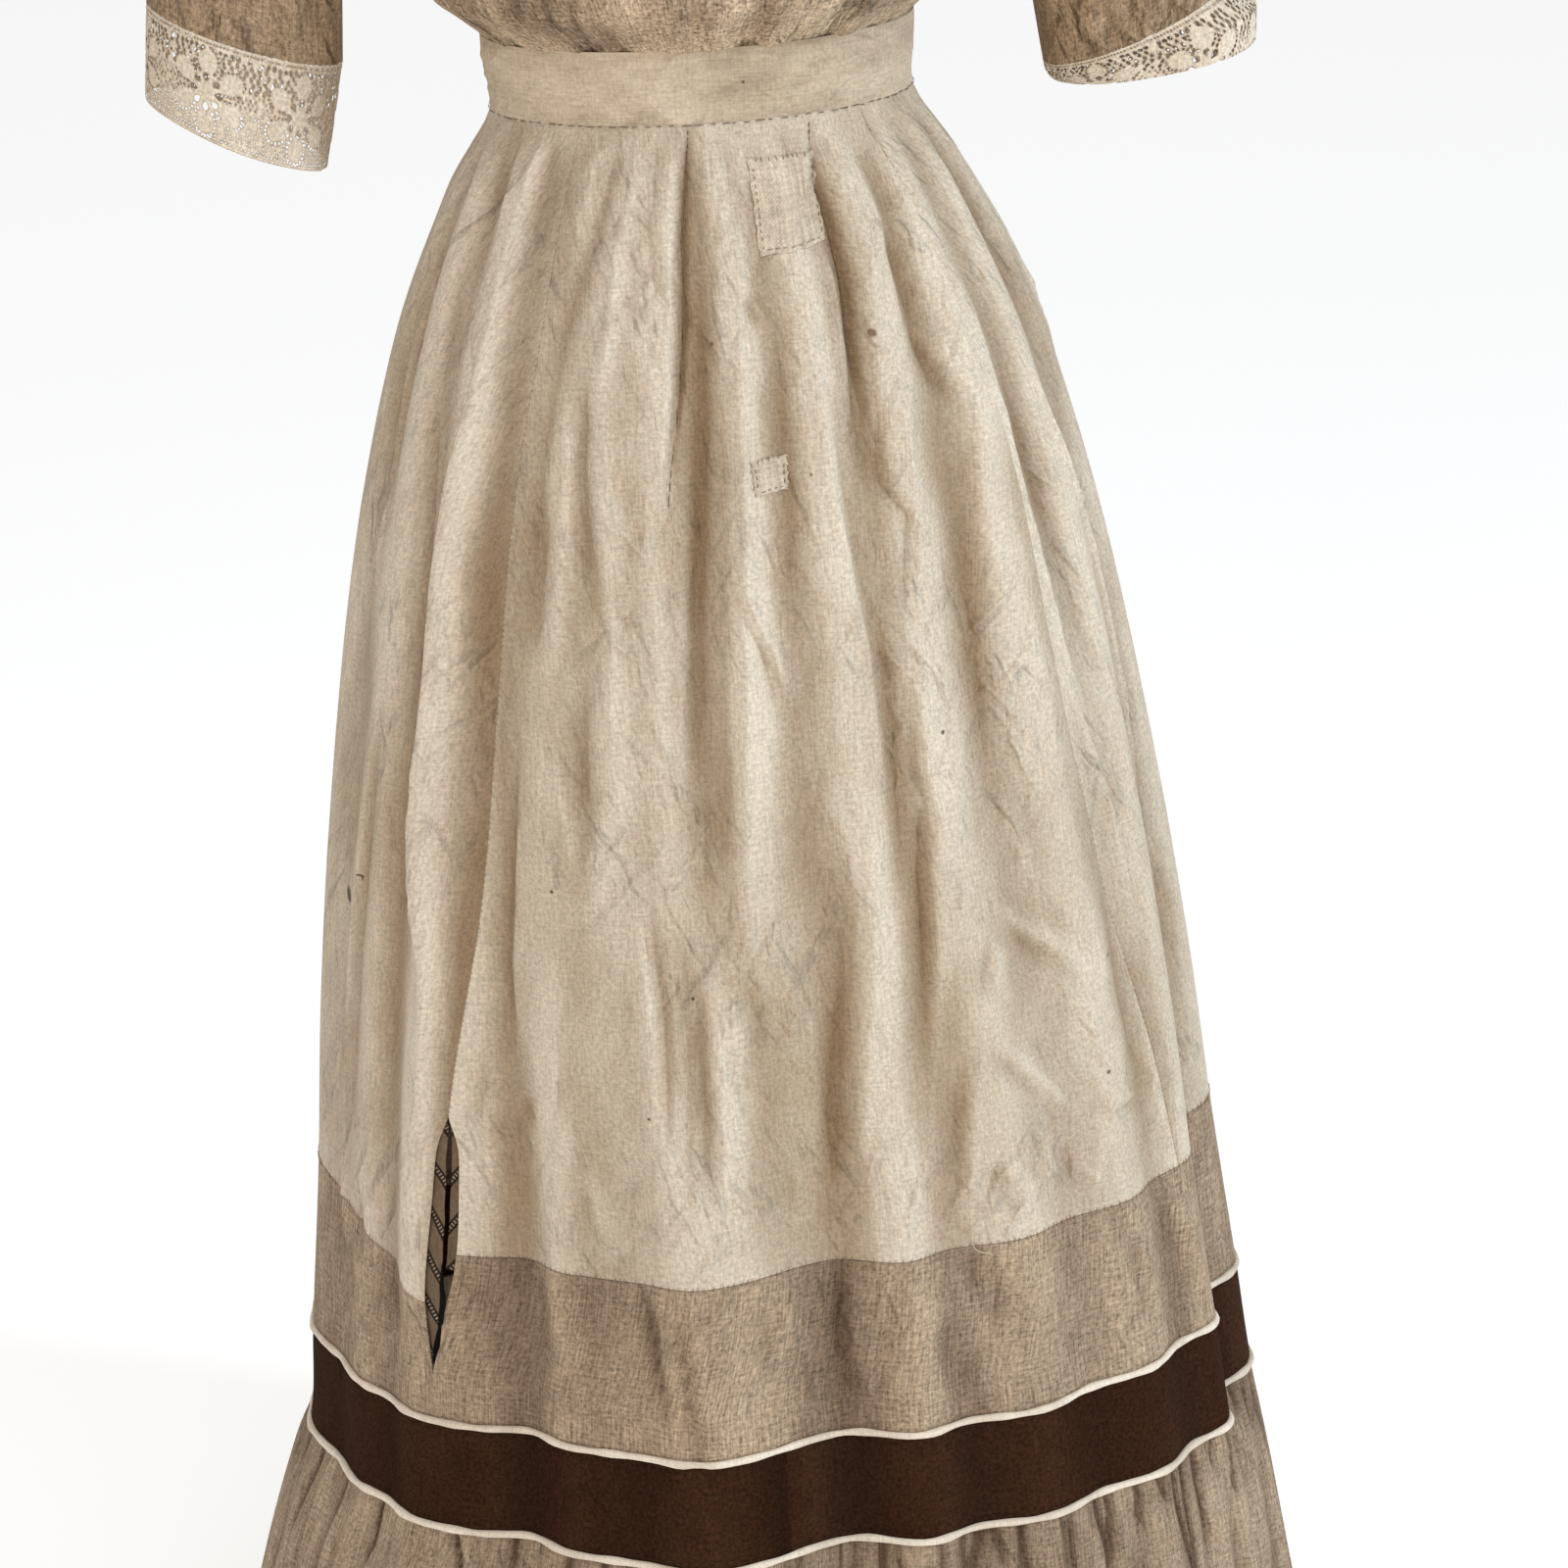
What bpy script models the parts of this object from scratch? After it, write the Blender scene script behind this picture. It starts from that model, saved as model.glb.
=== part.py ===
# Prairie dress: bodice with lace-trimmed elbow sleeves, waistband, gored skirt with two patches
# and a slit, tan and brown bands between pipings, and a gathered flounce.
# Metres, +Z up, the front faces -Y; the origin is the middle of the shoulder line.
import math
from collections import namedtuple

import bmesh
import bpy
from mathutils import Vector

MILLIMETRE = 0.001
CLOTH = 0.002                # wall of the skirt and bodice cloth
LACE = 0.001                 # wall of the lace
SEAM_GAP = 0.0004            # room between two pieces at a seam
SIDE_GAP = 0.0007            # and at the bodice's side and shoulder seams
EDGE_STRIP = 0.0015          # narrow last column or row that sets a panel's edge square

WAIST_Z = -0.410             # waistband's lower edge, below the shoulder line
BAND_HEIGHT = 0.042          # waistband
WAISTBAND_COLUMNS = 44
GORE_SEAM_DROP = 0.630       # cream gores to tan band, measured down from the waistband
UPPER_PIPING_DROP = 0.734
LOWER_PIPING_DROP = 0.799
HEM_DROP = 1.000
PIPING_RADIUS = 0.0021

# The skirt's outer surface by drop: half width, half depth in front and behind, middle's place in X
SKIRT_PROFILE = {
    "drop": (-0.042, 0.000, 0.025, 0.050, 0.124, 0.210, 0.300, 0.430, 0.525, 0.630, 0.734, 0.799,
             0.850, 0.925, 1.000),
    "side": (0.1230, 0.1200, 0.1330, 0.1480, 0.1810, 0.2060, 0.2250, 0.2460, 0.2580, 0.2680, 0.2800,
             0.2870, 0.3020, 0.3200, 0.3350),
    "front": (0.0960, 0.0915, 0.1030, 0.1170, 0.1490, 0.1770, 0.1970, 0.2180, 0.2300, 0.2395, 0.2490,
              0.2550, 0.2690, 0.2850, 0.2980),
    "back": (0.0960, 0.0930, 0.1090, 0.1260, 0.1610, 0.1890, 0.2090, 0.2310, 0.2440, 0.2540, 0.2640,
             0.2710, 0.2860, 0.3030, 0.3170),
    "middle": (0.000, 0.000, 0.000, 0.000, 0.000, 0.000, 0.000, 0.000, 0.000, 0.000, 0.000,
               0.000, -0.006, -0.013, -0.017),
}

# Lengthwise folds: angle from the front (degrees, + towards +X) at the waist, at FOLD_MIDDLE_DROP
# and at the gore seam; height there in millimetres (below zero for a hollow); half width in degrees
FOLD_MIDDLE_DROP = 0.300
Fold = namedtuple("Fold", "waist middle seam waist_mm middle_mm seam_mm half_width")
FRONT_FOLDS = (
    Fold(-84, -84, -83, 1.5, 3.0, 3.0, 5.0),
    Fold(-75, -73, -71, -2.5, -4.0, -3.0, 4.5),
    Fold(-65, -61, -60, 3.5, 4.5, 2.5, 5.0),
    Fold(-56, -55, -56, -2.5, -5.0, -4.0, 4.5),
    Fold(-48, -47, -49, 4.0, 9.5, 13.0, 5.0),
    Fold(-40, -38, -34, -4.0, -6.0, -12.0, 5.0),
    Fold(-30, -29, -27, 2.5, 3.0, 1.5, 4.5),
    Fold(-22, -21, -19, 4.0, 6.0, 2.5, 4.5),
    Fold(-11, -11, -11, 3.0, 2.5, 12.5, 5.0),
    Fold(-5, -7, 2, -4.5, -4.0, -7.0, 4.5),
    Fold(3, 0, -6, 4.5, 8.5, 4.0, 4.5),
    Fold(9, 8, 8, -2.5, -4.5, -17.0, 5.5),
    Fold(15, 15, 15, 4.0, 6.0, 2.5, 4.5),
    Fold(25, 20, 22, -6.5, -6.5, -9.0, 4.5),
    Fold(33, 26, 32, 5.0, 6.0, 3.5, 5.0),
    Fold(42, 36, 39, -4.0, -6.5, -2.5, 4.5),
    Fold(49, 45, 49, 4.5, 8.0, 7.0, 6.0),
    Fold(57, 55, 56, -2.5, -5.0, -3.0, 4.5),
    Fold(64, 64, 63, 4.0, 6.5, 9.0, 5.5),
    Fold(73, 74, 72, -3.5, -5.0, -12.0, 5.0),
    Fold(83, 83, 83, 2.0, 3.0, 3.5, 5.0),
)
BACK_FOLDS = (
    Fold(95, 94, 93, -2.5, -4.0, -3.5, 5.0),
    Fold(105, 104, 102, 4.0, 6.0, 5.0, 6.0),
    Fold(116, 115, 114, -4.0, -6.5, -8.0, 5.5),
    Fold(127, 127, 128, 5.0, 8.0, 10.0, 6.5),
    Fold(139, 138, 140, -5.0, -7.0, -9.0, 5.5),
    Fold(149, 150, 151, 5.0, 8.5, 11.0, 6.0),
    Fold(159, 160, 162, -6.0, -8.0, -9.0, 5.5),
    Fold(169, 170, 172, 6.0, 8.0, 9.0, 5.5),
    Fold(180, 181, 183, -5.0, -7.0, -9.5, 5.5),
    Fold(191, 192, 193, 6.0, 8.5, 10.0, 5.5),
    Fold(202, 202, 203, -6.0, -8.0, -8.0, 5.5),
    Fold(212, 213, 215, 5.0, 8.0, 11.5, 6.5),
    Fold(224, 225, 226, -4.5, -6.5, -8.5, 5.5),
    Fold(235, 235, 236, 4.5, 7.0, 8.0, 6.0),
    Fold(247, 247, 246, -4.0, -6.0, -6.5, 6.0),
    Fold(258, 258, 257, 3.0, 5.0, 4.0, 6.0),
)
FOLD_START_DROP = 0.045      # folds reach their waist height here
HEM_FOLD_SHARE = 1.25        # folds at the hem, as a share of their height at the gore seam

# Gore seams by drop: angle in degrees of each seam, left to right round the front, then the back
SEAM_DROPS = (0.000, 0.100, 0.200, 0.300, 0.430, 0.547, 0.630)
SEAM_ANGLES = {
    "front_left": (-35.8, -34.6, -37.0, -37.9, -39.8, -43.4, -43.8),
    "front_right": (46.0, 48.0, 49.6, 50.2, 53.3, 58.5, 60.5),
    "back_right": (121.0, 121.0, 121.2, 121.2, 121.0, 121.0, 121.0),
    "centre_back": (180.0, 180.3, 180.7, 181.0, 182.0, 182.6, 183.0),
    "back_left": (241.0, 241.0, 241.0, 241.0, 241.2, 241.0, 241.0),
}
GORE_DROPS = (0.000, 0.024, 0.060, 0.120, 0.200, 0.300, 0.420, 0.547, 0.568, 0.630)
GORE_COLUMNS = {"front": 30, "side_right": 16, "back_right": 15, "back_left": 15, "side_left": 20}

# The slit in the left front seam: half opening in degrees by drop, down into the tan band
SLIT_TOP_DROP = 0.547
SLIT_BOTTOM_DROP = 0.706
SLIT_HALF = {
    "drop": (0.547, 0.565, 0.590, 0.630, 0.665, 0.706),
    "half": (0.0, 1.7, 2.1, 2.4, 1.7, 0.0),
}
SLIT_ANGLE = {"drop": (0.547, 0.590, 0.630, 0.706), "angle": (-43.4, -43.9, -44.6, -46.4)}
SLIT_END_HALF = 0.10         # half width of the slit's lower end
SLIT_CLEARANCE = 1.6         # no other column of the tan band comes closer to the slit
# How far each facing shows into the slit, as a share of the slit's width
FACING_ROWS = {
    "facing_left": ((0.551, 0.40), (0.568, 0.42), (0.600, 0.46), (0.640, 0.50), (0.655, 0.84),
                    (0.665, 0.90), (0.690, 0.94)),
    "facing_right": ((0.551, 0.36), (0.568, 0.38), (0.600, 0.42), (0.640, 0.44)),
}
FACING_HIDDEN = 0.004        # width that lies behind the slit's edge
FACING_WALL = 0.001
FACING_ROOM = 0.0008
FACING_SPAN = 4.0            # degrees of skirt beside the slit that set a facing's direction

GATHERS = 80                 # waves round the flounce
GATHER_HEIGHT = (0.0006, 0.0045)    # at its seam and at the hem
GATHER_PHASE = 0.5           # how far the waves wander from even spacing, and how often
GATHER_PHASE_TIMES = 5
GATHER_UNEVEN = 0.3          # how much their height varies, and how often
GATHER_UNEVEN_TIMES = 11

# The bodice's body by height above the waistband: half width, half depth in front and behind
BODY_PROFILE = {
    "height": (0.000, 0.010, 0.025, 0.055, 0.110, 0.170, 0.230, 0.300, 0.370),
    "side": (0.1215, 0.1330, 0.1500, 0.1540, 0.1600, 0.1700, 0.1740, 0.1860, 0.2000),
    "front": (0.0945, 0.1080, 0.1230, 0.1260, 0.1310, 0.1330, 0.1240, 0.1080, 0.1000),
    "back": (0.0945, 0.1020, 0.1090, 0.1080, 0.1090, 0.1110, 0.1110, 0.1050, 0.1000),
}
BODY_BASE_Z = WAIST_Z + BAND_HEIGHT
UNDERARM_Z = -0.200
TIP_X = 0.186                # shoulder tip
TIP_Z = -0.034
NECK_X = 0.078               # where the neckline meets the shoulder line
NECK_Z = 0.004
FRONT_NECK_Z = -0.072
BACK_NECK_Z = -0.022
ROUNDING_Z = -0.230          # above this height front and back lean in to the shoulder line
LEAN_POWER = 2.4             # the higher, the squarer the shoulder
ARMHOLE_INSET = 0.034        # how far the armhole cuts in front of and behind the arm
ARMHOLE_SKEW = 0.62          # below one, it cuts in most under the middle of its height
LOWER_ROWS = (0.0, 0.06, 0.15, 0.32, 0.62, 1.0)        # shares from the waistband to the underarm
ARMHOLE_ROWS = (0.11, 0.27, 0.46, 0.65, 0.82, 0.94)    # shares from the underarm to the shoulder
CREST_STRIP = 0.0002         # last row below the shoulder line, and its least depth
CREST_DEPTH = 0.003
NECK_NOTCH = 0.001           # the shoulder seam opens this much at the neckline, under the binding
NECK_STRIP = 0.006           # and below the neckline
# Columns of the bodice's panels in degrees at the waist; None stands for the end of the neckline
FRONT_COLUMNS = (-32.0, None, -18.0, -9.0, 0.0, 9.0, 18.0, None, 32.0)
SIDE_COLUMNS = (32.0, 36.5, 50.0, 64.0, 77.0, 86.0, 90.0)
BACK_COLUMNS = (0.0, 4.0, 14.0, None, 41.0, 55.0, 69.0, 80.0, 86.0, 90.0)

# Sleeve rings from the armhole down, at 0 to 4, and on down the lace, at 4 to 5: middle x and z (x
# for the +X side), half width, half depth, and how far the ring's outer end is lifted, in degrees.
# The right cuff's lace is turned up inside, from 4.52 to its edge
Ring = namedtuple("Ring", "at x z half_width half_depth lift")
SLEEVES = {
    "left": (
        Ring(0.00, 0.2280, -0.1460, 0.0680, 0.0780, 66.0),
        Ring(1.00, 0.2410, -0.2050, 0.0620, 0.0730, 40.0),
        Ring(2.00, 0.2470, -0.2620, 0.0590, 0.0670, 27.0),
        Ring(3.00, 0.2510, -0.3130, 0.0575, 0.0620, 22.0),
        Ring(4.00, 0.2545, -0.3585, 0.0573, 0.0590, 21.0),
        Ring(5.00, 0.2645, -0.4155, 0.0545, 0.0580, 26.0),
    ),
    "right": (
        Ring(0.00, 0.2290, -0.1420, 0.0690, 0.0780, 66.0),
        Ring(1.00, 0.2430, -0.1990, 0.0640, 0.0730, 40.0),
        Ring(2.00, 0.2470, -0.2620, 0.0640, 0.0690, 28.0),
        Ring(3.00, 0.2480, -0.3250, 0.0650, 0.0670, 23.0),
        Ring(4.00, 0.2482, -0.3830, 0.0571, 0.0633, 21.9),
        Ring(4.26, 0.2570, -0.3945, 0.0625, 0.0620, 15.0),
        Ring(4.52, 0.2576, -0.4065, 0.0592, 0.0587, 7.4),
        Ring(5.00, 0.2540, -0.3850, 0.0460, 0.0480, 15.0),
    ),
}
CUFF_RING = 4                # the sleeve's lower edge
SLEEVE_STRIP = 0.003         # first ring past the armhole seam, square to it

LACE_REPEATS = 6             # round one cuff, half of them on each of its two pieces
LACE_START = -24.0           # degrees from the cuff's outer end to the first repeat
# One repeat of the lace: column edges round it and row edges down it, as shares. The wheel of
# eight holes is the block of five by five cells, whose odd ones are open but for the middle
LACE_COLUMNS = (0.0, 0.338, 0.408, 0.465, 0.535, 0.592, 0.662)
LACE_ROWS = (0.0, 0.336, 0.415, 0.480, 0.560, 0.625, 0.704, 1.0)
WHEEL_MIDDLE = (0.5, 0.52)
WHEEL_REACH = (0.162, 0.184)
WHEEL_EDGE = 1.01            # in those reaches, just past the block's outer lines
WHEEL_ROUNDING = 0.8
LACE_TOP = {"left": 0.007, "right": 0.014}     # share of its depth that clears the sleeve's edge
LACE_GAP = 0.0005            # between the two pieces of a cuff
CUFF_ROUND = 0.36            # length round a cuff
HALF_CUFF = 180.0            # degrees

BINDING_RADIUS = 0.0020
BINDING_ROOM = 0.0006
BINDING_LEAN = 0.5           # towards the middle, at the shoulder seams

# Patches on the front gore: left and right edge in degrees at the top and at the bottom, drops
PATCHES = {
    "patch_large": {"top": (10.2, 27.0), "bottom": (10.6, 23.4), "drops": (0.0195, 0.0685)},
    "patch_small": {"top": (4.2, 9.4), "bottom": (4.7, 8.9), "drops": (0.1735, 0.1895)},
}
PATCH_LIFT = 0.0004
PATCH_WALL = 0.0011
PATCH_STRIP = 0.4            # degrees; no column comes closer to its edges

BUTTONS = 6                  # down the centre back
BUTTON_RADIUS = 0.0055
BUTTON_FACE = 0.0044         # radius of its outer face
BUTTON_SIDES = 10
BUTTON_WALL = 0.0026
BUTTON_LIFT = 0.0005
BUTTON_X = 0.010
BUTTON_TOP_Z = -0.050
BUTTON_BOTTOM_Z = -0.335

for old in list(bpy.data.objects):
    bpy.data.objects.remove(old, do_unlink=True)
dress = bpy.data.collections.new("prairie_dress")
bpy.context.scene.collection.children.link(dress)


def make_material(name, colour, roughness):
    material = bpy.data.materials.new(name)
    material.use_nodes = True
    shader = material.node_tree.nodes["Principled BSDF"]
    shader.inputs["Base Color"].default_value = (*colour, 1.0)
    shader.inputs["Roughness"].default_value = roughness
    return material


BODICE_LINEN = make_material("bodice_linen", (0.262, 0.191, 0.130), 0.92)
WAIST_LINEN = make_material("waist_linen", (0.578, 0.482, 0.352), 0.90)
CREAM_LINEN = make_material("cream_linen", (0.672, 0.590, 0.451), 0.92)
TAN_LINEN = make_material("tan_linen", (0.392, 0.314, 0.223), 0.93)
BROWN_COTTON = make_material("brown_cotton", (0.082, 0.038, 0.021), 0.88)
PIPING_COTTON = make_material("piping_cotton", (0.800, 0.730, 0.600), 0.85)
LACE_THREAD = make_material("lace_thread", (0.660, 0.590, 0.480), 0.88)
PATCH_LINEN = make_material("patch_linen", (0.480, 0.410, 0.300), 0.94)
FACING_PRINT = make_material("facing_print", (0.300, 0.215, 0.140), 0.90)
BUTTON_SHELL = make_material("button_shell", (0.620, 0.540, 0.420), 0.35)


def read(table, key, column, at):
    """Reads a column of a table at any place on its key, along a smooth curve through the rows."""
    keys = table[key]
    values = table[column]
    last = len(keys) - 1
    if at <= keys[0]:
        return values[0]
    if at >= keys[last]:
        return values[last]
    row = max(index for index in range(last) if keys[index] <= at)
    span = keys[row + 1] - keys[row]
    share = (at - keys[row]) / span

    def slope(index):
        low = max(index - 1, 0)
        high = min(index + 1, last)
        return (values[high] - values[low]) / (keys[high] - keys[low])

    square = share * share
    cube = square * share
    return (
        (2 * cube - 3 * square + 1) * values[row]
        + (cube - 2 * square + share) * span * slope(row)
        + (3 * square - 2 * cube) * values[row + 1]
        + (cube - square) * span * slope(row + 1)
    )


def blend(low, high, share):
    return low + (high - low) * share


def ease(share):
    share = min(max(share, 0.0), 1.0)
    return share * share * (3 - 2 * share)


def fold_height(angle, drop):
    """How far the folds push the skirt out at an angle and a drop."""
    if drop <= 0:
        return 0.0
    height = 0.0
    above = min(drop / FOLD_MIDDLE_DROP, 1.0)
    below = min(max((drop - FOLD_MIDDLE_DROP) / (GORE_SEAM_DROP - FOLD_MIDDLE_DROP), 0.0), 1.0)
    for fold in FRONT_FOLDS + BACK_FOLDS:
        centre = blend(fold.waist, fold.middle, above) + (fold.seam - fold.middle) * below
        size = blend(fold.waist_mm, fold.middle_mm, above)
        size += (fold.seam_mm - fold.middle_mm) * ease(below)
        away = (angle - centre + 180.0) % 360.0 - 180.0
        height += size * MILLIMETRE * math.exp(-((away / fold.half_width) ** 2))
    hem = blend(1.0, HEM_FOLD_SHARE, ease((drop - GORE_SEAM_DROP) / (HEM_DROP - GORE_SEAM_DROP)))
    return height * ease(drop / FOLD_START_DROP) * hem


def skirt_point(angle, drop, out=0.0):
    """A point on the skirt's outer surface, moved out by a distance."""
    turn = math.radians(angle)
    proud = fold_height(angle, drop) + out
    facing = "front" if math.cos(turn) > 0 else "back"
    side = read(SKIRT_PROFILE, "drop", "side", drop) + proud
    depth = read(SKIRT_PROFILE, "drop", facing, drop) + proud
    x = read(SKIRT_PROFILE, "drop", "middle", drop) + side * math.sin(turn)
    return Vector((x, -depth * math.cos(turn), WAIST_Z - drop))


def seam_angle(name, drop):
    table = {"drop": SEAM_DROPS, "angle": SEAM_ANGLES[name]}
    return read(table, "drop", "angle", drop)


def slit_half(drop):
    if drop <= SLIT_TOP_DROP or drop >= SLIT_BOTTOM_DROP:
        return 0.0
    return read(SLIT_HALF, "drop", "half", drop)


def slit_angle(drop):
    return read(SLIT_ANGLE, "drop", "angle", drop)


def degrees_of(length, drop):
    """The angle that a short length round the skirt takes up."""
    return math.degrees(length / read(SKIRT_PROFILE, "drop", "side", drop))


def finish(name, mesh, material):
    piece = bpy.data.objects.new(name, mesh)
    piece.data.materials.append(material)
    mesh.shade_smooth()
    dress.objects.link(piece)
    return piece


def make_sheet(name, columns, rows, place, material, thickness=CLOTH, around=False, holes=()):
    """A cloth piece: a grid whose point (column, row) goes to place(column, row), given a wall.

    Columns run from left to right seen from outside and rows run down, so faces point out.
    """
    shape = bmesh.new()
    bmesh.ops.create_grid(shape, x_segments=columns, y_segments=rows, size=0.5)
    shape.verts.ensure_lookup_table()
    cells = {}
    for face in shape.faces:
        middle = face.calc_center_median()
        cells[(int((middle.x + 0.5) * columns), int((0.5 - middle.y) * rows))] = face
    cut = [cells[cell] for cell in holes]
    for point in shape.verts:
        column = round((point.co.x + 0.5) * columns)
        row = round((0.5 - point.co.y) * rows)
        point.co = place(column % columns if around else column, row)
    if cut:
        bmesh.ops.delete(shape, geom=cut, context="FACES")
    if around:
        bmesh.ops.remove_doubles(shape, verts=shape.verts, dist=1e-6)
    mesh = bpy.data.meshes.new(name)
    shape.to_mesh(mesh)
    shape.free()
    wall = finish(name, mesh, material).modifiers.new("wall", "SOLIDIFY")
    wall.thickness = thickness
    wall.offset = -1.0


def gore_edges(left, right, drop):
    """The two edge angles of a gore, clear of its neighbours and of the slit."""
    clear = degrees_of(SEAM_GAP / 2, drop)
    low = seam_angle(left, drop)
    high = seam_angle(right, drop)
    if drop > SLIT_TOP_DROP and left == "front_left":
        low = slit_angle(drop) + slit_half(drop)
    if drop > SLIT_TOP_DROP and right == "front_left":
        high = slit_angle(drop) - slit_half(drop)
    if high < low:
        high += 360.0
    return low + clear, high - clear


GORES = (
    ("front", "front_left", "front_right"),
    ("side_right", "front_right", "back_right"),
    ("back_right", "back_right", "centre_back"),
    ("back_left", "centre_back", "back_left"),
    ("side_left", "back_left", "front_left"),
)


def gore_angles(name, drop):
    """The angles of a gore's columns at a drop, with a narrow one along each seam."""
    left, right = next((left, right) for gore, left, right in GORES if gore == name)
    low, high = gore_edges(left, right, drop)
    strip = degrees_of(EDGE_STRIP, drop)
    steps = GORE_COLUMNS[name] - 2
    inner = [blend(low, high, index / steps) for index in range(1, steps)]
    return [low, low + strip] + inner + [high - strip, high]


def gore_drops():
    drops = list(GORE_DROPS)
    drops[0] = SEAM_GAP
    drops[-1] = GORE_SEAM_DROP - SEAM_GAP / 2
    return drops


def build_gores():
    drops = gore_drops()
    for name, _left, _right in GORES:
        angles = [gore_angles(name, drop) for drop in drops]

        def place(column, row, angles=angles):
            return skirt_point(angles[row][column], drops[row])

        make_sheet("gore_" + name, GORE_COLUMNS[name], len(drops) - 1, place, CREAM_LINEN)


def ring_angles():
    """Column angles of the rings below the gores: the gores' own, without the narrow strips."""
    angles = []
    for name, _left, _right in GORES:
        row = gore_angles(name, GORE_SEAM_DROP)
        angles += [row[0]] + row[2:-2]
    return sorted(angle % 360.0 for angle in angles)


def build_tan_band():
    """The tan band, with the lower end of the slit cut into its upper edge."""
    middle = slit_angle(GORE_SEAM_DROP) + 360.0
    half = slit_half(GORE_SEAM_DROP)
    clear = half + SLIT_CLEARANCE
    angles = [angle for angle in ring_angles() if abs(angle - middle) > clear]
    angles = sorted(angles + [middle - half, middle + half])
    notch = angles.index(middle - half)
    drops = (
        GORE_SEAM_DROP + SEAM_GAP / 2,
        0.665,
        SLIT_BOTTOM_DROP,
        UPPER_PIPING_DROP - PIPING_RADIUS - SEAM_GAP,
    )

    def place(column, row):
        angle = angles[column]
        if column in (notch, notch + 1):
            side = -1 if column == notch else 1
            angle = slit_angle(drops[row]) + 360.0 + side * max(slit_half(drops[row]), SLIT_END_HALF)
        return skirt_point(angle, drops[row])

    holes = [(notch, row) for row in range(2)]
    make_sheet("tan_band", len(angles), len(drops) - 1, place, TAN_LINEN, around=True, holes=holes)


def build_brown_band():
    angles = ring_angles()
    top = UPPER_PIPING_DROP + PIPING_RADIUS + SEAM_GAP
    bottom = LOWER_PIPING_DROP - PIPING_RADIUS - SEAM_GAP

    def place(column, row):
        return skirt_point(angles[column], bottom if row else top)

    make_sheet("brown_band", len(angles), 1, place, BROWN_COTTON, around=True)


def build_pipings():
    for name, drop in (("piping_upper", UPPER_PIPING_DROP), ("piping_lower", LOWER_PIPING_DROP)):
        points = [skirt_point(angle, drop, -CLOTH / 2) for angle in ring_angles()]
        make_cord(name, points, PIPING_RADIUS, PIPING_COTTON)


def build_flounce():
    drops = (LOWER_PIPING_DROP + PIPING_RADIUS + SEAM_GAP, HEM_DROP)
    columns = GATHERS * 4

    def place(column, row):
        turn = 2 * math.pi * column / columns
        wave = math.sin(GATHERS * turn + GATHER_PHASE * math.sin(GATHER_PHASE_TIMES * turn))
        size = GATHER_HEIGHT[row] * (1.0 + GATHER_UNEVEN * math.cos(GATHER_UNEVEN_TIMES * turn))
        return skirt_point(math.degrees(turn), drops[row], size * (wave - 1.0))

    make_sheet("flounce", columns, len(drops) - 1, place, TAN_LINEN, around=True)


def build_waistband():
    def place(column, row):
        drop = 0.0 if row else -BAND_HEIGHT
        return skirt_point(360.0 * column / WAISTBAND_COLUMNS, drop)

    make_sheet("waistband", WAISTBAND_COLUMNS, 1, place, WAIST_LINEN, around=True)


def build_facings():
    """Two strips behind the slit, each set back from the edge that it is sewn to."""
    for name, table in FACING_ROWS.items():
        sign = -1 if name == "facing_left" else 1

        def place(column, row, sign=sign, table=table):
            drop, reach = table[row]
            half = slit_half(drop)
            edge = skirt_point(slit_angle(drop) + sign * half, drop)
            beside = skirt_point(slit_angle(drop) + sign * (half + FACING_SPAN), drop)
            along = (edge - beside).normalized()
            inwards = along.cross(Vector((0, 0, 1))) * sign
            width = math.radians(2 * half) * read(SKIRT_PROFILE, "drop", "side", drop)
            shown = column == 1 if sign < 0 else column == 0
            reached = along * (width * reach if shown else -FACING_HIDDEN)
            return edge + reached + inwards * (CLOTH + FACING_ROOM)

        make_sheet(name, 1, len(table) - 1, place, FACING_PRINT, FACING_WALL)


def front_gore_cell(drop):
    """The row of the front gore's grid at a drop, how far down it, and its column angles there."""
    drops = gore_drops()
    row = max(index for index in range(len(drops) - 1) if drops[index] <= drop)
    down = (drop - drops[row]) / (drops[row + 1] - drops[row])
    upper = gore_angles("front", drops[row])
    lower = gore_angles("front", drops[row + 1])
    return row, down, [blend(a, b, down) for a, b in zip(upper, lower)]


def on_front_gore(angle, drop, out):
    """A point on the flat faces of the front gore, moved out square to them."""
    row, down, lines = front_gore_cell(drop)
    column = max(index for index in range(len(lines) - 1) if lines[index] <= angle)
    across = (angle - lines[column]) / (lines[column + 1] - lines[column])
    corners = []
    for drop in gore_drops()[row : row + 2]:
        for angle in gore_angles("front", drop)[column : column + 2]:
            corners.append(skirt_point(angle, drop))
    a, b, c, d = corners
    outwards = (c - b).cross(d - a).normalized()
    return a.lerp(b, across).lerp(c.lerp(d, across), down) + outwards * out


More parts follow.
